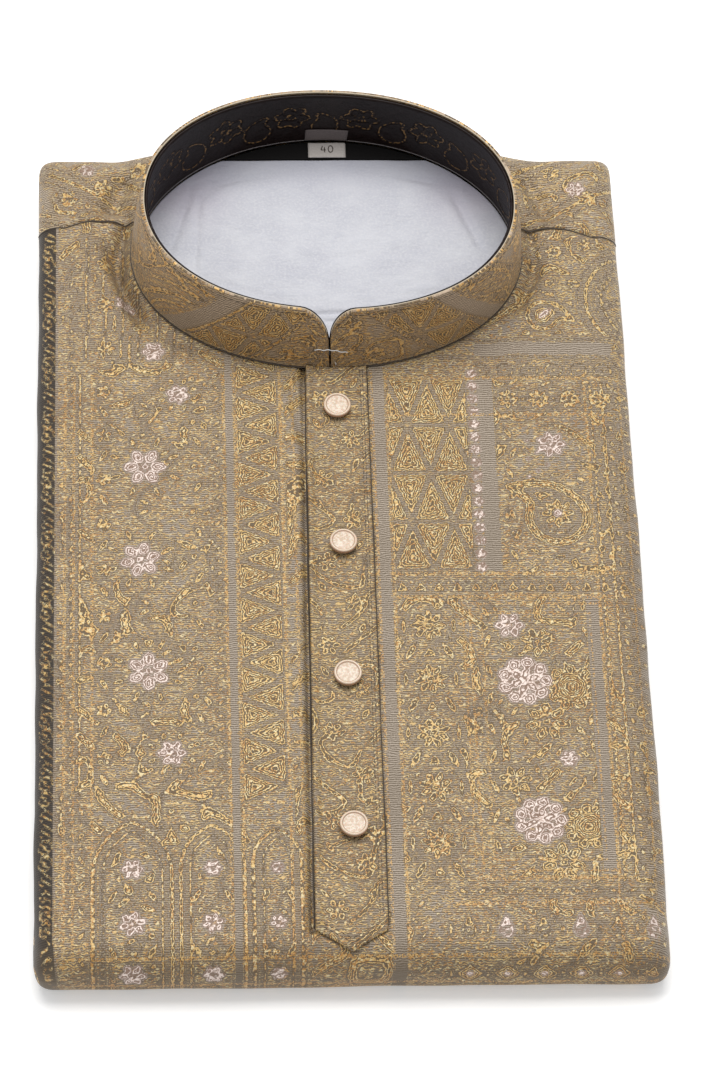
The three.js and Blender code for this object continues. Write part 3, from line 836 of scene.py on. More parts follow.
def arch(u, v, x, top, half, length):
    """A pointed arch that stands on straight sides."""
    a, b = np.abs(u - x), v - (top - 1.5 * half)
    reach = 1.62 * half
    head = np.hypot(a + reach - half, np.maximum(b, 0)) - reach
    return np.maximum(np.where(b > 0, head, a - half), -(b + length))


def diamond(u, v, x, y, half_x, half_y):
    a, b = np.abs(u - x), np.abs(v - y)
    return (a * half_y + b * half_x - half_x * half_y) / math.hypot(half_x, half_y)


def vine(u, v, x, start, stop, swing, pitch, width):
    """A stem that runs along v and sways, with two leaves at each bend."""
    slope = math.hypot(1, 2 * math.pi * swing / pitch * 0.7)
    d = (np.abs(u - x - swing * np.sin(2 * math.pi * (v - start) / pitch)) - width / 2) / slope
    d = np.maximum(d, np.maximum(start - v, v - stop))
    for k in range(int((stop - start) / (pitch / 2))):
        y = start + (k + 0.5) * pitch / 2
        side = 1 if k % 2 == 0 else -1
        for lean, reach in ((35, 3.6), (-30, 3.2)):
            bend = x - side * (reach * 1.1 - swing), y + lean / 14
            d = np.minimum(d, leaf(u, v, *bend, 6.4, 2.6, 90 - side * (90 - lean)))
    return d


def tiled_wedges(u, v, x0, y0, pitch_x, pitch_y, part):
    """Triangles pointing up with others pointing down between them, parted by thin lines."""
    row = np.floor((v - y0) / pitch_y)
    a = np.mod(u - x0 + (row % 2) * pitch_x / 2, pitch_x) - pitch_x / 2
    b = v - y0 - row * pitch_y
    rising = (np.abs(a) * pitch_y + (b - pitch_y) * pitch_x / 2) / math.hypot(pitch_y, pitch_x / 2)
    return np.minimum(np.maximum(rising, -b), np.maximum(-rising, b - pitch_y)) + part / 2


def over_box(d, u, v, low_x, low_y, high_x, high_y):
    """The figure, only inside a rectangle."""
    box = np.maximum(np.maximum(low_x - u, u - high_x), np.maximum(low_y - v, v - high_y))
    return np.maximum(d, box)


def filigree(u, v, seed, width):
    """Curling strokes all over, for the ground between the large figures."""

    def field(a, b):
        return np.sin(a / 4.6 + 1.9 * np.sin(b / 7.1 + seed)) + np.sin(b / 4.2 + 1.8 * np.sin(a / 8.2 - seed))

    here = field(u, v)
    slope = np.hypot(field(u + 0.5, v) - here, field(u, v + 0.5) - here) / 0.5
    return np.abs(here - 0.25) / np.maximum(slope, 0.16) - width / 2 + 1.5 * np.maximum(0, 0.22 - slope)


# First x and y, step in x and y, count, length, width, turns of the even and odd leaves, the odd ones' move
FRONT_LEAVES = [
    (-97, 56, 0, -22, 9, 9, 3, 120, 60, 0),
    (-58, 62, 0, -22, 9, 8, 3, 60, 120, 0),
    (-50, -128, 0, 6.1, 34, 5.4, 2.1, 135, 45, 0),
    (-110.5, -188, 0, 6.1, 34, 4.6, 1.9, 120, 60, 0),
    (-110.5, -68, 0, 6.1, 34, 4.6, 1.9, 120, 60, 0),
    (79.5, 66, 13, 0, 4, 5, 1.8, 0, 0, 0),
    (79.5, 56, 13, 0, 4, 5, 1.8, 0, 0, 0),
    (72, -16, 0, 10, 7, 8, 2.8, 115, 65, 2),
    (112.5, -16, 0, 10, 7, 8, 2.8, 65, 115, 0),
    (27.5, -62, 0, -25, 5, 11, 3.6, 62, 62, 0),
    (42.5, -62, 0, -25, 5, 11, 3.6, 118, 118, 0),
    (24.8, -50, 0, -25, 5, 9, 2.6, 90, 90, 0),
    (45.2, -50, 0, -25, 5, 9, 2.6, 90, 90, 0),
    (58.6, -44, 0, -13.4, 9, 9, 3, 110, 70, 0),
    (99.2, -40, 0, -13.4, 9, 9, 3, 70, 110, 0),
    (115.6, 68, 0, -7.4, 32, 6, 2.4, 120, 60, 0),
    (124.6, 140, 0, -9, 40, 6.4, 2.6, 20, 20, 0),
    (-106, -134, 0, -11, 9, 7, 2.4, 120, 60, 0),
    (24, -170, 0, -7, 9, 6, 2.2, 140, 40, 3),
    (38.2, -188, 14.6, 0, 6, 7, 2.2, 90, 90, 0),
    (38.2, -207, 14.6, 0, 6, 6, 2.2, 90, 90, 0),
    (44, -171.4, 7.4, 0, 11, 6, 2.4, 155, 25, 0),
]
BAND_LEAVES = [(-131, 146, 0, -7.2, 50, 9, 3.2, 132, 48, 0)]
EDGE_LEAVES = [(119.4, 66, 0, -7.2, 34, 8.4, 1.7, 58, 58, 0)]

# Straight plain strips: low x, high x, low y, high y
PLAIN_STRIPS = [
    (15, 20.4, -300, 300),
    (60.9, 66, -24, 72),
    (-46.4, -43, -300, 300),
    (100.6, 105, -164, -36),
    (60, 118, 84, 90),
]


def front_figures(u, v):
    """The patchwork of borders, panels and flowers on the front."""
    gold, silver = np.full_like(u, 9.0), np.full_like(u, 9.0)

    def put(*figures):
        nonlocal gold
        gold = least(gold, *figures)

    def put_silver(*figures):
        nonlocal silver
        silver = least(silver, *figures)

    # Flower panel on the left
    put(vine(u, v, -76, -124, 74, 8, 48, 1.0))
    flowers = [(-80, 28, 9), (-82, -17, 8.5), (-79, -70, 9), (-66, 64, 5), (-70, -108, 6)]
    for k, (x, y, size) in enumerate(flowers):
        put_silver(blossom(u, v, x, y, size, 6, 15 * k))
        put(leaf_ring(u, v, x, y, 1.45 * size, 1.45 * size, 22, 45, 8, size * 0.8, 2.8))
    for k in range(9):
        put(blossom(u, v, -97, 66 - 22 * k, 3.6, 5, 20 * k), disc(u, v, -60, 72 - 22 * k, 1.7))

    # Column of triangles between lines, by turns from its left and its right side
    for y in -124 + 16.4 * np.arange(13):
        put(wedge(u, v, -41.8, y, 7.0, 16.0, -90), wedge(u, v, -24.4, y + 8.2, 7.0, 16.0, 90))

    # Upper left, beside the collar
    for k in range(7):
        put(over_box(np.abs(u + 104 - 7.4 * k - 0.6 * np.sin(v / 5)) - 0.9, u, v, -110, 82, -56, 146))
    for k in range(6):
        put(blossom(u, v, -96 + 15 * (k % 2), 88 + 11 * k, 4.2, 6, 12 * k))
    put_silver(blossom(u, v, -76, 86, 5, 6), blossom(u, v, -88, 112, 4, 5))

    # Hatched triangles and a chain of white flowers on the right
    put(over_box(tiled_wedges(u, v, 21.5, -24, 17.4, 24, 1.4), u, v, 21.8, -23, 55.4, 72))
    for k in range(16):
        put_silver(blossom(u, v, 58.2, -22 + 6.4 * k, 2.5, 5, 14 * k))

    # A row of rosettes, and the paisley panel
    for k in range(4):
        put(blossom(u, v, 73 + 13 * k, 61, 5.2, 8, 10 * k), disc(u, v, 66.5 + 13 * k, 61, 1.3))
    body = paisley(u, v, 91, 2, 15, 14, -1)
    put(np.maximum(body, -(np.abs(body + 5.2) - 0.7)))
    gold = np.maximum(gold, -disc(u, v, 91, 4, 8.6))
    put(blossom(u, v, 91, 4, 7.4, 8), leaf_ring(u, v, 91, 3, 21, 20, 0, 30, 12, 7, 2.6, 90))
    put_silver(blossom(u, v, 90, 38, 6.4, 7), disc(u, v, 91, 4, 2))
    for k in range(7):
        put_silver(disc(u, v, 80 + 4 * (k % 3), 22 + 3 * k, 1.0))

    # Upper right, beside the collar
    ring = disc(u, v, 134, 112, 25)
    for off, half in ((0, 1.2), (-4, 0.6), (3.4, 0.6)):
        put(over_box(np.abs(ring - off) - half, u, v, 96, 93, 150, 147))
    body = paisley(u, v, 90, 104, 8, -62, 1)
    put(np.maximum(body, -(np.abs(body + 3.4) - 0.6)))
    put_silver(leaf(u, v, 91, 105, 8, 3, 40))
    for x, y, size in [(86, 132, 3.6), (97, 138, 4.2), (104, 121, 3), (94, 121, 3), (110, 141, 3.6), (88, 146, 3)]:
        put(blossom(u, v, x, y, size, 6, 3 * x))
    put(leaf_ring(u, v, 134, 112, 18, 18, 140, 11, 9, 6, 2.4, -90))
    for level in (91.5, 82.5):
        put(over_box(np.abs(v - level) - 0.6, u, v, 44, 60, 118, 140))
    for x in 62 + 10.4 * np.arange(6):
        put(np.maximum(disc(u, v, x, 75.6, 4.2), -disc(u, v, x, 75.6, 2.7)), disc(u, v, x, 75.6, 1.2))

    # Bands above the framed panel
    for x in 25 + 7.6 * np.arange(13):
        put(wedge(u, v, x, -34, 3.1, 6, 0), disc(u, v, x + 3.8, -29.4, 1.2))

    # Column of round figures
    for k in range(5):
        y = -50 - 25 * k
        put(blossom(u, v, 35, y, 7.6, 8, 9 * k), disc(u, v, 35, y, 2), wedge(u, v, 35, y - 15, 3.4, 6, 0))

    # Flowers of the framed panel
    for x, y, size in [(73, -76, 11.5), (76, -140, 11)]:
        gold = np.maximum(gold, -disc(u, v, x, y, size + 1))
        put(full_blossom(u, v, x + 19, y - 3, size * 0.98, 9, 12), disc(u, v, x + 19, y - 3, size * 0.7))
        put(blossom(u, v, x + 8, y - 19, 9.5, 7, 40))
        put(blossom(u, v, x - 9 if y < -100 else x + 6, y + 18, 7.4, 7, 10))
        put_silver(full_blossom(u, v, x, y, size, 9))
    put_silver(blossom(u, v, 68, -50, 6.2, 6), blossom(u, v, 89, -112, 4, 6))
    for k in range(9):
        y = -50 - 13.4 * k
        put(leaf(u, v, 68 + 4 * (k % 3), y, 7, 2.6, 20 * k), leaf(u, v, 90 - 5 * (k % 2), y + 8, 7, 2.6, 140 - 15 * k))

    # Arches towards the near edge
    for x, half, top in [(-86, 15.5, -139), (-54.5, 12.5, -141), (-29, 9.5, -143)]:
        outer = arch(u, v, x, top, half, 74)
        put(np.abs(outer) - 1.1, np.abs(outer + 3.8) - 0.8)
        put(vine(u, v, x, -224, -166, half * 0.22, 24, 0.9))
        put_silver(blossom(u, v, x, -160, half * 0.3, 6), blossom(u, v, x, -184, half * 0.36, 6, 15))
        put_silver(blossom(u, v, x, -206, half * 0.36, 6))
        for y, tilt in ((-172, 60), (-196, 120)):
            put(leaf(u, v, x - half * 0.5, y, 9, 3, tilt), leaf(u, v, x + half * 0.5, y, 9, 3, 180 - tilt))
    for x in (-70.5, -42.6):
        put(wedge(u, v, x, -150, 4.5, 10, 0), disc(u, v, x, -134.5, 1.8))

    # Rows of drops and diamonds on the near roll
    for k in range(6):
        x = 45.5 + 14.6 * k
        drop = np.minimum(disc(u, v, x, -188.6, 3.3), wedge(u, v, x, -187.8, 3.1, 7.2, 0))
        target = put_silver if k % 2 else put
        target(np.maximum(drop, -(np.abs(disc(u, v, x, -188.4, 1.4)) - 0.3)))
        put(diamond(u, v, x, -207, 6, 5), wedge(u, v, x, -226, 5, 8, 0))
        put_silver(diamond(u, v, x, -207, 2.4, 2))
    put(leaf_rows(u, v, FRONT_LEAVES))

    # The dark band down the left side, with rings and bent strokes
    side = u < -116.6
    gold, silver = np.where(side, 9.0, gold), np.where(side, 9.0, silver)
    for k in range(50):
        y = 146 - 7.2 * k
        if k % 4 in (1, 2):
            put(np.abs(disc(u, v, -120.6, y, 2.9)) - 0.65, disc(u, v, -120.6, y, 1.1))
        else:
            off = np.abs(u + 120.6)
            for shift in (-2.4, 0.8):
                put(np.maximum(np.abs(v - y - shift - 0.9 * (2 - off)) - 0.75, off - 3.2))
        put(disc(u, v, -139, y, 1.8))
    put(leaf_rows(u, v, BAND_LEAVES))

    # Fine strokes between the figures, then the beaded lines and the plain strips
    strokes = filigree(u, v, 0.6, 4.4) + 6 * np.maximum(0, -0.15 - waves(u * 0.9, v * 0.8, 7.7))
    strokes = np.maximum(strokes, 1.7 - np.minimum(gold, silver))
    quiet = ((u > 20.8) & (u < 56.5) & (v > -24) & (v < 73)) | ((u > -45) & (u < -21.6) & (v < 73)) | side
    gold = np.minimum(gold, np.where(quiet, 9.0, strokes))
    for low, high, start, stop in [(106.9, 108.7, -168, 70), (111.8, 113.8, -168, 70), (-108, -106, -128, 76)]:
        beads = 0.35 * np.sin(v * 2.3) if low == 106.9 else 0
        put(over_box(-99.0 + 0 * u, u, v, low, start, high, stop) + 0.1 + beads)
    put(leaf_rows(u, v, EDGE_LEAVES))
    plain = np.any([(u > a) & (u < b) & (v > c) & (v < d) for a, b, c, d in PLAIN_STRIPS], axis=0)
    gold = np.where(plain, 9.0, gold)
    crowd = 0.34 + 0.2 * waves(u * 1.6, v * 1.2, 3.1)
    crowd = np.where(u < -117, -0.6, crowd)
    crowd = np.where(plain | ((u > 118.6) & (v < 70)), -0.7, crowd)
    crowd = np.where((u > -22) & (u < -13), 0.1, crowd)
    values = woven(gold, crowd, silver, np.minimum(-117.3 - u, v + 214))
    values["along"] = smooth_step(76, 74, v) * smooth_step(-205, -203, v) * (np.abs(u) < 121)
    lower = np.where(v > -170, (u > 50) & (u < 112), (u > 38) | (v < -190))
    values["across"] = np.where(v > -50, (u > 21) & (u < 118), lower) * (u > -116) * 1.0
    return values


def yoke_figures(u, v):
    gold = np.full_like(u, 9.0)
    for degrees, shift, sign in ((28, 0, 1), (152, 9, -1)):
        off = np.abs(np.mod(turned(u, v, 0, 150, degrees)[1] + shift, 26) - 13)
        stripe = np.minimum(off - 1.3, np.abs(off - 3.6) - 0.7)
        gold = np.minimum(gold, np.where(np.sign(u) == sign, stripe, 9.0))
    for k in range(16):
        x = -112 + 15 * k
        flower = blossom(u, v, x, 166 + 7 * (k % 3), 4.4, 6, 15 * k)
        spray = leaf(u, v, x + 7, 158 + 5 * (k % 2), 8, 2.8, 30 + 50 * (k % 3))
        gold = least(gold, flower, spray, blossom(u, v, x + 5, 196 + 8 * (k % 2), 4.4, 6, 15 * k))
    gold = np.minimum(gold, np.maximum(filigree(u, v, 2.2, 3.0), 1.3 - gold))
    silver = np.minimum(blossom(u, v, 108, 171, 4.4, 6), blossom(u, v, -104, 182, 3.6, 6))
    return woven(gold, 0.1 + 0.2 * waves(u * 1.5, v * 1.5, 5.2), silver)


def collar_figures(u, v):
    """Slanting panels: hatched triangles, plain bands, small flowers and curving rows."""
    place = np.mod(np.abs(u) - 0.9 * v + 6 * np.sin(u / 40) + 42, 92)

    def between(figure, low, high):
        return np.maximum(figure, np.maximum(low - place, place - high) * 0.8)

    arcs = np.abs(np.mod(np.hypot(np.mod(u, 46) - 23, v + 8), 5.4) - 2.7) - 1.1
    flowers = least(*[blossom(u, v, -232 + 9.7 * k, 8 + 9.5 * (k % 3), 4.4, 6, 12 * k) for k in range(48)])
    gold = least(
        between(tiled_wedges(u, v, 3, -3, 22, 19, 1.6), 12, 38),
        *[np.abs(place - at) - 1.1 for at in (10.4, 39.8, 64)],
        between(arcs, 66, 90),
        between(np.minimum(flowers, 9.0), 43, 62),
        between(filigree(u, v, 1.3, 2.6), 42, 88),
    )
    return woven(gold, np.where(place < 9.0, -0.7, 0.16 + 0.3 * waves(u * 2, v * 2, 0.4)))


def placket_figures(u, v):
    gold = filigree(u, v, 4.4, 2.8) + 6 * np.maximum(0, -0.2 - waves(u * 3.1, v * 1.7, 2.9))
    for k in range(14):
        y, side = 68 - 20 * k, k % 2
        spray = leaf(u, v, 8 - 16 * side, y, 7, 3.4, 60 + 60 * side)
        gold = least(gold, spray, blossom(u, v, -6 + 12 * side, y - 8, 5, 6, 20 * k))
    return woven(gold, 0.42 + 0.2 * waves(u * 3, v * 2, 1.4))


def folded_figures(u, v):
    flowers = blossom(np.mod(u, 30) - 15, np.mod(v, 34) - 17, 0, 0, 7, 8)
    sprays = leaf(np.mod(u + 15, 30) - 15, np.mod(v + 17, 34) - 17, 0, 0, 12, 4, 60)
    return woven(least(flowers, sprays, 9.0 + 0 * u), 0.3)


def satin_figures(u, v):
    gold = np.full_like(u, 9.0)
    for k in range(15):
        x, hand = -210 + 30 * k, 1 if k % 2 else -1
        gold = least(gold, paisley(u, v, x, 10, 6, 20 * hand, hand), blossom(u, v, x + 15, 18, 8, 6, 10 * k))
    return {"gold": gold}


# Brocade cloth pieces


def outside_neck(middles):
    x = (middles[:, 0] - BASE["x"]) / (BASE["across"] - SEAM_INSET)
    y = (middles[:, 1] - BASE["y"]) / (BASE["along"] - SEAM_INSET)
    return (np.hypot(x, y) > 1) | (middles[:, 2] < 18)


def seam_groove(x, y):
    """The cloth's dip at the shoulder seam, with a soft ridge over the turned edges behind it."""
    off = y - seam_y(x)
    return 0.8 * hill(off, 0.7) - 0.55 * hill(off - 2.6, 1.8)


def placket_left(y):
    """x of the placket's left edge."""
    return mix(PLACKET["left_top"], PLACKET["left_end"], (PLACKET_TOP - y) / PLACKET_RUN)


def edge_hollows(x, y):
    """Dips beside the placket's edges and round the collar."""
    left = placket_left(np.clip(y, PLACKET_TOP - PLACKET_RUN, PLACKET_TOP))
    beside = (y < 80) & (y > PLACKET["shoulder"])
    deep = beside * (3.0 + 0.9 * waves(y * 0.8, 0 * y, 3.3)) * hill(x - left + 1.3, 1.45)
    deep = deep + beside * 0.5 * hill(x - PLACKET["right"] - 0.5, 0.6)
    across, along = in_oval(x, y)
    angle = np.arctan2(along, across)
    far = np.maximum(np.hypot(across, along) - 1, 0) * 68
    deep = deep + 0.5 * hill(far - 0.3, 1.1)
    sides = hill(np.abs(angle) - math.pi, 0.6) + 0.7 * hill(angle, 0.5)
    return deep + sides * 2.5 * far / 4 * np.exp(1 - far / 4)


def cloth_top(x, y):
    """The visible height of the top, which fades to the plain form at the sides."""
    edge = smooth_step(0, 3, SIDE_CORE - np.abs(x))
    z = mix(top_height(x, y, False), top_height(x, y), edge)
    return z - seam_groove(x, y) - edge_hollows(x, y) * edge


COARSE = 1.2
NEAR_SEAM = np.array([6, 5, 4.1, 3.3, 2.6, 2, 1.5, 1.1, 0.8, 0.5, 0.25, 0])


def top_columns():
    """Even columns over the top, closer beside the placket's edges."""
    even = np.linspace(-SIDE_CORE, SIDE_CORE, int(2 * SIDE_CORE / COARSE))
    even = even[~(((even > -16.3) & (even < -9.2)) | ((even > 12.2) & (even < 15.6)))]
    return np.sort(np.concatenate([even, np.arange(-16.5, -9, 0.55), np.arange(12, 15.8, 0.5)]))


def rows_to_seam(seam, _=None):
    return np.concatenate([np.linspace(NEAR_CORE, seam - 7, int(335 / COARSE)), seam - NEAR_SEAM])


def rows_from_seam(seam, end):
    return np.concatenate([seam + NEAR_SEAM[::-1], np.linspace(seam + 7, end, int(26 / COARSE))])


def wrapped(end, rows):
    """A panel from the shoulder seams over one end of the stack, rounded over its sides too."""
    xs = top_columns()
    y = np.stack([rows(seam_y(x), far_core(x)) for x in xs], 1)
    x = np.broadcast_to(xs, y.shape)
    top = np.stack([x, y, cloth_top(x, y)], -1), np.stack([x, y], -1)
    order = -1 if end == "near" else 1
    at = stations(xs, rows(seam_y(SIDE_CORE), FAR_CORE)[::order], end)
    left = (np.abs(at[:, 0] + SIDE_CORE) < 1e-6) & (at[:, 4] == 0)
    at[left, 1] = rows(seam_y(-SIDE_CORE), FAR_CORE)[::order]
    points, cloth = fold_strip(at, smoothed(FOLD_RINGS, 3), end)
    points[0, :, 2] = cloth_top(at[:, 0], at[:, 1])
    return weld([top, (points[::order], cloth[::order])], outside_neck), points


# Where the straight lines of beads run, and the frames: x, y, half widths, insets
FRONT_COLUMNS = [
    (-113.8, -112.8),
    (-110.6, -109.6),
    (-102.8, -102.0),
    (-94.6, -93.8),
    (-56.2, -55.2),
    (-47.6, -46.4),
    (-43.2, -42.0),
    (-24.2, -23.0),
    (-19.0, -18.2),
    (14.2, 15.2),
    (20.5, 21.5),
    (104.8, 105.6),
    (119.2, 120.2),
]
FRONT_ROWS = [
    (-229, -227.8),
    (-219, -218),
    (-214.4, -213.4),
    (-200.0, -198.8),
    (-197.4, -196.6),
    (-180.4, -179.2),
    (-177.8, -176.8),
    (-166.6, -165.4),
    (-37.8, -36.8),
    (-26.4, -25.4),
    (51.4, 52.4),
    (70.0, 71.0),
]
FRONT_BOX = [(79, -101, 27.5, 62, [(-5.8, -4.8), (-1.2, -0.0), (1.6, 2.6)])]


def front_cloth():
    made, points = wrapped("near", rows_to_seam)
    material = brocade("front brocade", FRONT_ROWS, FRONT_COLUMNS, FRONT_BOX)
    piece = cloth_piece("front_cloth", made, material, 0, front_figures)
    ride(piece, "front_panel")
    return points[:, 0], points[:, -1]


def yoke_cloth():
    made, _ = wrapped("far", rows_from_seam)
    piece = cloth_piece("yoke_cloth", made, brocade("yoke brocade", tint=srgb(188, 172, 152)), 40, yoke_figures)
    ride(piece, "back_yoke")


def folded_cloth():
    """The folded layers: their hems at the far end and the underside with its folded edges."""
    xs = np.linspace(-SIDE_CORE, SIDE_CORE, 116)
    near = fold_strip(stations(xs, np.linspace(-10, NEAR_CORE, 90), "near"), smoothed(LAYER_RINGS, 4), "near")
    back = fold_strip(stations(xs, np.linspace(-10, FAR_CORE, 94), "far"), smoothed(LAYER_RINGS, 4), "far")
    fine = np.array([-1.6, -0.8, -0.3, 0, 0.3, 0.8, 1.6])
    inset = 0.8
    seams, lines = (-38, 41), (-62, -20, 44, 96)
    even = np.linspace(-SIDE_CORE - inset, SIDE_CORE + inset, 60)
    columns = np.unique(np.concatenate([even, *[x + fine for x in seams]]))
    shares = [(y - NEAR_CORE) / (FAR_CORE - NEAR_CORE) + fine / (FAR_CORE - NEAR_CORE) for y in lines]
    x, t = np.meshgrid(columns, np.unique(np.concatenate([np.linspace(0, 1, 90), *shares])))
    y = mix(NEAR_CORE + inset, far_core(x) + 6, t)
    groove = 0.9 * hill(x - seams[0], 0.6) + 0.9 * hill(x - seams[1], 0.6)
    for k, line in enumerate(lines):
        groove = groove + ((x < seams[0]) if k % 2 else (x > seams[1])) * 0.8 * hill(y - line, 0.6)
    under = np.stack([x, y, 0.05 + groove], -1)[:, ::-1], np.stack([x, y - 420], -1)[:, ::-1]
    made = weld([(near[0][::-1], near[1][::-1]), back, under])
    material = brocade("folded brocade", tint=srgb(158, 143, 124))
    piece = cloth_piece("folded_cloth", made, material, 90, folded_figures, mapped=False)
    ride(piece, "folded_layers")


# The collar


def collar_angles(step, slit):
    start = -math.pi / 2 + slit / BASE["across"]
    end = start + 2 * math.pi - 2 * slit / BASE["across"]
    lead = np.array([0, 0.25, 0.6, 1.1, 1.8, 2.7, 3.8, 5.2, 6.8, 8.8, COLLAR_CORNER[0]]) / BASE["across"]
    middle = np.linspace(start + lead[-1], end - lead[-1], int((end - start) * 72 / step))[1:-1]
    return np.concatenate([start + lead, middle, (end - lead)[::-1]])


def oval_point(oval, angle, inset):
    c, s = np.cos(angle), np.sin(angle)
    dx = (oval["across"] - inset) * np.sign(c) * np.abs(c) ** (2 / oval["power"])
    dy = (oval["along"] - inset) * np.sign(s) * np.abs(s) ** (2 / oval["power"])
    a = math.radians(oval["turn"])
    return oval["x"] + dx * math.cos(a) - dy * math.sin(a), oval["y"] + dx * math.sin(a) + dy * math.cos(a)


def cloth_height(x, y):
    """Height of the cloth over the top and a little way down the far fold."""
    past = y - far_core(x)
    *_, level, out = np.array(FOLD_RINGS[:5]).T
    fold = np.interp(np.maximum(past, 0), out, level)
    return np.where(past <= 0, top_height(x, y, False), top_height(x, far_core(x), False) * fold / STACK)


def collar_wall(inset, thick, setback, step, rows, slit):
    """The outer face of one of the collar's cloths, and its places."""
    angles = collar_angles(step, slit)
    x0, y0 = oval_point(BASE, angles, inset)
    x1, y1 = oval_point(RIM, angles, inset)
    base = np.maximum(cloth_height(x0, y0), cloth_height(*oval_point(BASE, angles, inset + thick))) + GAP - 0.25
    rim = RIM_FRONT_Z + RIM_RISE * (1 + np.sin(angles)) / 2 - setback
    from_end = np.minimum(angles - angles[0], angles[-1] - angles) * BASE["across"]
    left = np.maximum(0, 1 - from_end / COLLAR_CORNER[0])
    drop = COLLAR_CORNER[1] * (1 - np.sqrt(1 - left**2))
    up = np.linspace(0, 1, rows)[:, None] * (1 - drop / (rim - base))
    bow = COLLAR_BOW * 4 * up * (1 - up) + 0.35 * np.sin(up * math.pi) * waves(angles * 60, 0 * angles, 2.4)
    x, y = mix(x0, x1, up) + bow * np.cos(angles), mix(y0, y1, up) + bow * np.sin(angles)
    grid = np.stack([x, y, mix(base, rim, up)], -1)
    run = distances(grid[rows // 2])
    return grid, np.stack([np.broadcast_to(run - run[-1] / 2, up.shape), up * (rim - base)], -1)


def collar_outer():
    grid, cloth = collar_wall(0, COLLAR_CLOTH, 0, 1.3, 30, COLLAR_SLIT)
    material = brocade("collar brocade", tint=srgb(188, 166, 142), rich=0.35)
    piece = cloth_piece("collar_band", thick_sheet(grid, cloth, COLLAR_CLOTH, 0.34), material, 150, collar_figures)
    ride(piece, "collar_outer")
    return grid, cloth


def collar_inner():
    grid, cloth = collar_wall(COLLAR_CLOTH + GAP, CLOTH, INNER_SETBACK, 1.6, 20, 0.08)
    piece = cloth_piece("collar_satin", thick_sheet(grid, cloth, CLOTH), satin_lining(), 200, satin_figures)
    ride(piece, "collar_inner")
    return grid


# Inside the neck


def neck_grid(ys, columns, depth):
    """A level oval inside the neck, at these rows."""
    along = np.clip((ys - BASE["y"]) / (BASE["along"] - LINING_INSET), -1, 1)
    half = (BASE["across"] - LINING_INSET) * np.sqrt(1 - along**2)
    x = BASE["x"] + half[:, None] * np.linspace(-1, 1, columns)[None]
    y = np.broadcast_to(ys[:, None], x.shape)
    return np.stack([x, y, top_height(x, y, False) - depth], -1), np.stack([x, y], -1)


def neck_lining():
    reach = BASE["along"] - LINING_INSET
    turn = np.linspace(0.02, math.acos((BASE["y"] - 181.9) / reach), 150)
    grid, cloth = neck_grid(BASE["y"] - reach * np.cos(turn), 150, 0.6)
    x, y = grid[..., 0], grid[..., 1]
    grid[..., 2] -= crease_depth(x, y, LINING_CREASES) - 0.15 * waves(x * 2, y * 2, 0.7)
    piece = cloth_piece("lining_cloth", thick_sheet(grid, cloth, 1.0, 0.2), white_lining(), 250)
    ride(piece, "neck_lining")


def back_facing():
    reach = BASE["along"] - LINING_INSET
    turn = np.linspace(math.asin((182.5 - BASE["y"]) / reach), 1.45, 14)
    grid, cloth = neck_grid(BASE["y"] + reach * np.sin(turn), 60, 0.7)
    looks = {"Roughness": 0.8, "Specular_IOR_Level": 0.2}
    # Dark facing cloth whose near-black colour is partly painted shade under the back of the collar.
    material = plain_cloth("back facing and painted shade", (2.6, 1.2), 1.0, srgb(6, 5, 5), srgb(20, 17, 17), **looks)
    piece = cloth_piece("facing_cloth", thick_sheet(grid, cloth, 0.8, 0.2), material, 300, mapped=False)
    ride(piece, "back_facing")


def label_height(x, y):
    return top_height(x, y, False) + 0.6 + 0.12 * np.sin(x / 2.3) * np.cos(y / 3)


def size_label(inner):
    """The label on the facing, and its thin end on the satin, with the dark satin showing through."""
    x, y = np.meshgrid(np.linspace(-8, 8, 30), np.linspace(182.9, 189.7, 14))
    sheet = thick_sheet(np.stack([x, y, label_height(x, y)], -1), np.stack([x, y], -1), 0.9, 0.2)
    piece = cloth_piece("label_tape", sheet, label_tape(), 350, mapped=False)
    ride(piece, "size_label")

    middle = np.argmin(np.abs(inner[0, :, 0]) + 1000 * (inner[0, :, 1] < BASE["y"]))
    row, column = np.meshgrid(np.linspace(0.6, 4.6, 10), middle + np.linspace(-5.2, 5.2, 14), indexing="ij")
    places, out = on_grid(inner, row.ravel(), column.ravel())
    grid = (places - 1.75 * out).reshape(10, 14, 3)[:, ::-1]
    gauze = plain_cloth("label gauze", (2.2, 2.2), 2.0, srgb(84, 74, 72), srgb(124, 114, 112), Roughness=0.8)
    piece = cloth_piece("label_end", thick_sheet(grid, grid[..., [0, 2]], 0.3, 0.2), gauze, 370, mapped=False)
    ride(piece)


# The placket


def along_front(x, along, lift):
    """A place on the front by its distance along the cloth, raised off it along its normal."""
    rings = smoothed(FOLD_RINGS, 6)[:, [2, 0]]
    past = np.maximum(NEAR_CORE - along, 0)
    out, level = (np.interp(past, distances(rings), rings[:, i]) for i in (0, 1))
    y = np.where(along >= NEAR_CORE, along, NEAR_CORE - out)
    z = np.where(along >= NEAR_CORE, top_height(x, along), top_height(x, NEAR_CORE + 0 * x) * level / STACK)
    grid = np.stack([x, y, z], -1)
    return grid + lift[..., None] * grid_normals(grid)


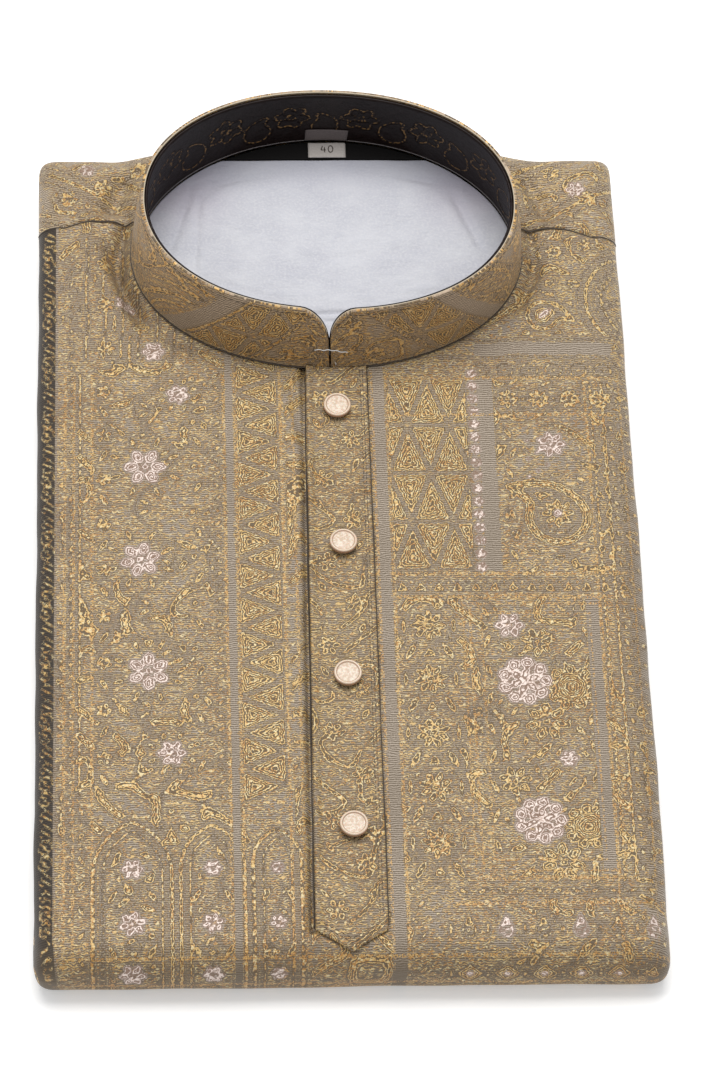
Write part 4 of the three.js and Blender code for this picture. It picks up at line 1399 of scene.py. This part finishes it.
def placket_grid():
    """The placket's outer face and its places, by a share down it and a share across it."""
    share, f = np.meshgrid(np.linspace(1, 0, 300), np.linspace(0, 1, 34), indexing="ij")
    x = mix(mix(PLACKET["left_top"], PLACKET["left_end"], share), PLACKET["right"], f)
    t = (mix(PLACKET["left_top"], PLACKET["right"], f) - BASE["x"]) / BASE["across"]
    top = BASE["y"] - BASE["along"] * np.sqrt(1 - t**2) - 0.4
    along = mix(top, PLACKET["shoulder"] - PLACKET["point"] * (1 - np.abs(2 * f - 1)), share)
    lift = PLACKET["lift"] + 0.9 * hill(f, 0.1) * (0.8 + 0.6 * waves(along * 1.3, 0 * x, 2.2))
    lift = lift - 0.3 * (hill(f - 0.9, 0.04) + hill(f - 0.12, 0.05)) + 0.2 * waves(along * 2.2, x * 3, 1.1)
    for bx, by in BUTTONS:
        lift = lift - 0.3 * hill(x - bx, 6) * hill(along - by, 7)
    return along_front(x, along, lift), np.stack([x, along], -1)


def placket(grid, cloth):
    material = brocade("placket brocade", tint=srgb(160, 144, 124))
    piece = cloth_piece("placket_strip", thick_sheet(grid, cloth, CLOTH), material, 400, placket_figures)
    ride(piece, "placket")


# Sewing


def tubes(name, made, material):
    """Closed tubes, each given as rings of points, in one mesh."""
    faces, at = [], 0
    for rings in made:
        ids = at + np.arange(rings.shape[0] * rings.shape[1]).reshape(rings.shape[:2])
        faces += ring_faces(ids).tolist() + [ids[0, ::-1].tolist(), ids[-1].tolist()]
        at += ids.size
    points = np.concatenate([rings.reshape(-1, 3) for rings in made])
    points[:, 2] = np.maximum(points[:, 2], 0)
    piece, _ = mesh(name, points, faces, material)
    give(piece, "turned", points)
    ride(piece)


def around(sides, one, other):
    """Unit rings that turn from the one way to the other."""
    turn = np.arange(sides) * 2 * math.pi / sides
    return np.cos(turn)[:, None] * one[..., None, :] + np.sin(turn)[:, None] * other[..., None, :]


def stitches(name, paths, material, length=2.3, gap=0.8, radius=0.2):
    """Short threads along each path, which is its points and the normals there."""
    share = np.array([0.0, 0.12, 0.35, 0.65, 0.88, 1.0])
    thick = np.array([0.25, 0.8, 1.0, 1.0, 0.8, 0.25])[:, None, None]
    sink = radius * (0.35 - 0.9 * np.abs(2 * share - 1) ** 3)[:, None, None]
    made = []
    for path, normal in paths:
        run = distances(path)
        count = max(1, int(run[-1] / (length + gap)))
        pitch = run[-1] / count
        for start in np.arange(count) * pitch + gap / 2:
            at = start + (pitch - gap) * share
            middle = np.stack([np.interp(at, run, path[:, i]) for i in range(3)], -1)
            up = unit(np.array([np.interp(start, run, normal[:, i]) for i in range(3)]))
            side = np.cross(unit(middle[-1] - middle[0]), up)
            made.append(middle[:, None] + radius * thick * around(6, side, up) + sink * up)
    tubes(name, made, material)


def cords(name, paths, material, radius, sides=8, uneven=0.0):
    """Round threads along paths of points."""
    made = []
    for path in paths:
        way = unit(np.gradient(path, axis=0))
        side = unit(np.cross(way, np.array([0.001, 0.001, 1.001])))
        swell = 1 + uneven * waves(path[:, 1] * 1.1, path[:, 0], 1.9)
        swell[[0, -1]] = 0.3
        made.append(path[:, None] + radius * swell[:, None, None] * around(sides, side, np.cross(side, way)))
    tubes(name, made, material)


def on_grid(grid, row, column):
    """Points and normals of a grid at fractional rows and columns."""
    r0, c0 = np.clip(row.astype(int), 0, grid.shape[0] - 2), np.clip(column.astype(int), 0, grid.shape[1] - 2)
    fr, fc = (row - r0)[:, None], (column - c0)[:, None]
    made = []
    for a in (grid, grid_normals(grid)):
        low = a[r0, c0] * (1 - fc) + a[r0, c0 + 1] * fc
        high = a[r0 + 1, c0] * (1 - fc) + a[r0 + 1, c0 + 1] * fc
        made.append(low * (1 - fr) + high * fr)
    return made


def along_row(grid, row, ends=1):
    """Points and normals along one row of a grid, without so many points at its ends."""
    column = np.arange(ends, grid.shape[1] - ends).astype(float)
    return on_grid(grid, row + 0 * column, column)


def collar_face(x, z, off):
    """Points at the collar's front, a little off its outer face."""
    angle = -math.pi / 2 + (x - BASE["x"]) / BASE["across"]
    x0, y0 = oval_point(BASE, angle, 0)
    _, y1 = oval_point(RIM, angle, 0)
    up = (z - top_height(x0, y0, False)) / (RIM_FRONT_Z - STACK)
    bow = COLLAR_BOW * 4 * up * (1 - up) + off
    return np.stack([x, mix(y0, y1, up) + bow * np.sin(angle), z], -1)


def collar_sewing(collar, heights, inner, dark, tan):
    """Stitches just under the rim, and the seams and cords at the rim and at the base: the dark seam cord at the base
    also paints the shadow there, and the pale cord at the rim and the grey cord on the satin's lower edge are painted
    highlights.
    """
    pale = sewing_thread("pale highlight thread", srgb(214, 202, 180), srgb(160, 142, 114))
    grey = sewing_thread("grey highlight thread", srgb(150, 142, 142), srgb(96, 88, 88))
    white = sewing_thread("white thread", srgb(232, 232, 232), srgb(196, 196, 198))
    last = len(collar) - 1
    stitches("collar_stitches", [along_row(collar, last * (1 - 2.4 / heights[5:-5]), 5)], dark, 2.2, 0.6, 0.15)
    # The dark cord at the collar's foot is the seam, and it also paints the contact shadow there.
    base, out = along_row(collar, 0.25)
    cords("collar_base_seam_and_shadow", [base + 0.1 * out], dark, 0.34)
    stitches("collar_base_stitches", [along_row(collar, last * 1.5 / 36)], tan, 2.2, 0.5, 0.15)
    # Painted highlight: a pale cord between the walls at the rim, for the light on the rim's edge.
    rim, out = along_row(collar, last - 0.2)
    cords("rim_highlight_cord", [rim - 1.15 * out + np.array([0, 0, 0.35])], pale, 0.3)
    # Painted highlight: a grey cord along the satin's lower edge at the back, for the light line on that edge.
    low, out = along_row(inner, 0.4)
    cords("satin_edge_highlight_cord", [(low - 1.3 * out)[low[:, 1] > BASE["y"] - 35]], grey, 0.17)

    # The tack that holds the collar's ends together, and a loose end
    x = np.linspace(-8.6, 5.8, 40)
    path = collar_face(x, 38.8 - 1.6 * smooth_step(-2, 6, x) + 0.25 * np.sin(x * 1.7), 0.45)
    tail = collar_face(np.array([0.4, 0.9, 0.7]), np.array([31.2, 29.6, 28.4]), 0.45)
    cords("tack_thread", [path, tail], white, 0.2)


def shoulder_seams(edges, thread):
    """Over the top and down the side folds."""
    paths = []
    for side, edge in zip((-1, 1), edges):
        x = side * np.linspace(SIDE_CORE - 0.5, 60, 120)
        y = seam_y(x)
        outside = np.hypot(*in_oval(x, y)) > 1.012
        paths.append(np.concatenate([edge[:0:-1], np.stack([x, y, top_height(x, y) - 0.75], -1)[outside]]))
    cords("shoulder_seams", paths, thread, 0.36)


def placket_sewing(grid, dark, tan):
    grid = grid[::-1]
    share = np.linspace(0.006, 0.97, 220)
    f = np.linspace(0.09, 0.9, 40)
    paths = [on_grid(grid, share * 299, at * 33 + 0 * share) for at in (0.9, 0.945)]
    paths += [on_grid(grid, (0.996 - off / 272) * 299 + 0 * f, f * 33) for off in (1.6, 3.2)]
    stitches("placket_stitches", [(p, -n) for p, n in paths], dark, 1.9, 0.5, 0.14)
    # Dark cords beside the placket's edges: the left one paints the shadow under the free edge, the right one is the
    # seam line.
    edges = []
    for left, top, drop in ((True, 74, 2.2), (False, 76, 0.35)):
        y = np.linspace(-186, top, 260)
        x = placket_left(y) - 0.75 if left else PLACKET["right"] + 0.55 + 0 * y
        x = x + 0.12 * waves(y * 2, 0 * y, 1.0)
        edges.append(np.stack([x, y, top_height(x, y) - drop], -1))
    cords("placket_edge_shadow_threads", edges, dark, 0.36, uneven=0.4)

    # Buttonholes, with stitches across their edges and open ends
    for k, (x, y) in enumerate(BUTTONS):
        ring = []
        for a in np.linspace(0, 2 * math.pi, 74)[:-1]:
            if abs(math.sin(a)) >= 0.35:
                here = np.array([x + 1.05 * math.cos(a), y + 0.6 + 9.2 * math.sin(a)])
                centre = np.array([*here, top_height(*here) + PLACKET["lift"] + 0.2])
                across = 0.62 * unit(np.array([math.cos(a), math.sin(a) * 0.35, 0]))
                ring.append((np.array([centre - across, centre + across]), np.array([[0, 0, 1.0]] * 2)))
        stitches(f"buttonhole_{k + 1}", ring, tan, 1.2, 0.02, 0.17)


def label_number(thread):
    """A plain size number, as strokes: four, then nought."""
    turn = np.linspace(0, 2 * math.pi, 20)
    nought = list(zip(2.6 + 1.0 * np.cos(turn), 1.6 * np.sin(turn)))
    paths = []
    for stroke in ([(-0.9, 1.6), (-1.5, -0.4), (0.6, -0.4)], [(0.0, 1.0), (0.0, -1.6)], nought):
        run = np.linspace(0, len(stroke) - 1, 12 * (len(stroke) - 1))
        x, y = (np.interp(run, np.arange(len(stroke)), along) for along in np.array(stroke).T)
        x, y = x - 1.0, y + 186.6
        paths.append(np.stack([x, y, label_height(x, y) + 0.1], -1))
    cords("label_number", paths, thread, 0.2, 6)


# Buttons

# Radius and height round a button, from its shank over its rim to its face
BUTTON_OUTER = [(0.0, 0.2), (1.7, 0.2), (1.7, 1.0), (3.6, 0.95), (5.0, 1.15), (5.55, 1.5), (5.75, 2.0), (5.75, 2.7)]
BUTTON_FACE = [(5.62, 3.15), (5.3, 3.45), (4.95, 3.5), (4.7, 3.36), (4.5, 3.08), (4.3, 2.92)]
BUTTON_MIDDLE = [(3.8, 2.96), (2.6, 3.05), (1.3, 3.1), (0.0, 3.12)]
BUTTON_SIDES = 72


def button(number, x, y, material):
    profile = np.array(BUTTON_OUTER + BUTTON_FACE + BUTTON_MIDDLE)
    steps = np.arange(2 * len(profile) - 1) / 2
    r, z = (np.interp(steps, np.arange(len(profile)), along)[1:-1, None] for along in profile.T)
    turn = np.linspace(0, 2 * math.pi, BUTTON_SIDES, endpoint=False)
    chip = 1 + 0.004 * np.sin(3 * turn + number)
    rings = np.stack([r * chip * np.cos(turn), r * chip * np.sin(turn), z + 0 * turn], -1)
    ids = np.arange(rings.shape[0] * BUTTON_SIDES).reshape(-1, BUTTON_SIDES)
    after = np.roll(ids, -1, axis=1)
    faces = ring_faces(ids).tolist()
    faces += [[ids.size, after[0, j], ids[0, j]] for j in range(BUTTON_SIDES)]
    faces += [[ids.size + 1, ids[-1, j], after[-1, j]] for j in range(BUTTON_SIDES)]
    own = np.concatenate([rings.reshape(-1, 3), [[0, 0, profile[0, 1]], [0, 0, profile[-1, 1]]]])
    tilt = Matrix.Rotation(math.radians(1.5) * (1 if number % 2 else -1), 3, "X")
    base = float(top_height(np.array(x), np.array(y), False)) + PLACKET["lift"] + GAP
    piece, _ = mesh(f"button_face_{number}", own @ np.array(tilt).T + np.array([x, y, base]), faces, material)
    give(piece, "turned", own + 31 * number)
    give(piece, "radius", np.hypot(own[:, 0], own[:, 1]))
    ride(piece, f"button_{number}")


# Floor, light and camera


def add(name, data):
    made = bpy.data.objects.new(name, data)
    bpy.context.scene.collection.objects.link(made)
    return made


def stage():
    size = 4.0
    data = bpy.data.meshes.new("floor")
    data.from_pydata([(-size, -size, 0), (size, -size, 0), (size, size, 0), (-size, size, 0)], [], [[0, 1, 2, 3]])
    s = Shader("floor paper")
    s.set(Base_Color=srgb(248, 248, 248), Roughness=0.9, Specular_IOR_Level=0.1)
    s.set(Emission_Color=(1.0, 1.0, 1.0), Emission_Strength=0.25)
    data.materials.append(s.material)
    add("floor", data)

    world = bpy.data.worlds.new("studio")
    bpy.context.scene.world = world
    world.use_nodes = True
    background = world.node_tree.nodes["Background"]
    background.inputs["Color"].default_value = (0.97, 0.985, 1.0, 1)
    background.inputs["Strength"].default_value = 0.58

    light = bpy.data.lights.new("overhead", "AREA")
    light.shape = "RECTANGLE"
    light.size, light.size_y = 1.2, 0.9
    light.energy = 23
    light.color = (1.0, 0.985, 0.96)
    lamp = add("overhead", light)
    lamp.location = (-0.06, 0.42, 1.6)
    lamp.rotation_euler = (Vector((0, 0.05, 0)) - lamp.location).to_track_quat("-Z", "Y").to_euler()


def camera():
    azimuth, elevation, roll = math.radians(-5.39), math.radians(58.0), math.radians(4.19)
    target = Vector((0.0071, -0.0039, 0.0150))
    distance = 1.7875
    level = math.cos(elevation)
    back = Vector((math.sin(azimuth) * level, -math.cos(azimuth) * level, math.sin(elevation)))
    right = (-back).cross(Vector((0, 0, 1))).normalized()
    up = right.cross(-back)
    side = right * math.cos(roll) + up * math.sin(roll)
    over = up * math.cos(roll) - right * math.sin(roll)
    data = bpy.data.cameras.new("camera")
    data.sensor_fit = "AUTO"
    data.sensor_width = 36
    data.lens = 4310 / 1088 * 36
    data.clip_start, data.clip_end = 0.05, 30
    made = add("camera", data)
    turn = Matrix((side, over, back)).transposed().to_4x4()
    made.matrix_world = Matrix.Translation(target + back * distance) @ turn
    bpy.context.scene.camera = made
    bpy.context.scene.view_settings.view_transform = "Standard"


cream = button_cream()
folded_cloth()
seam_columns = front_cloth()
yoke_cloth()
collar_grid, collar_places = collar_outer()
satin_grid = collar_inner()
neck_lining()
back_facing()
size_label(satin_grid)
placket_face, placket_places = placket_grid()
placket(placket_face, placket_places)
tan_thread = sewing_thread("tan thread", srgb(182, 160, 124), srgb(132, 112, 82))
dark_thread = sewing_thread("dark thread", srgb(74, 60, 44), srgb(40, 31, 23))
collar_sewing(collar_grid, collar_places[-1, :, 1], satin_grid, dark_thread, tan_thread)
shoulder_seams(seam_columns, dark_thread)
placket_sewing(placket_face, dark_thread, tan_thread)
label_number(dark_thread)
for index, (button_x, button_y) in enumerate(BUTTONS):
    button(index + 1, button_x, button_y, cream)
stage()
camera()
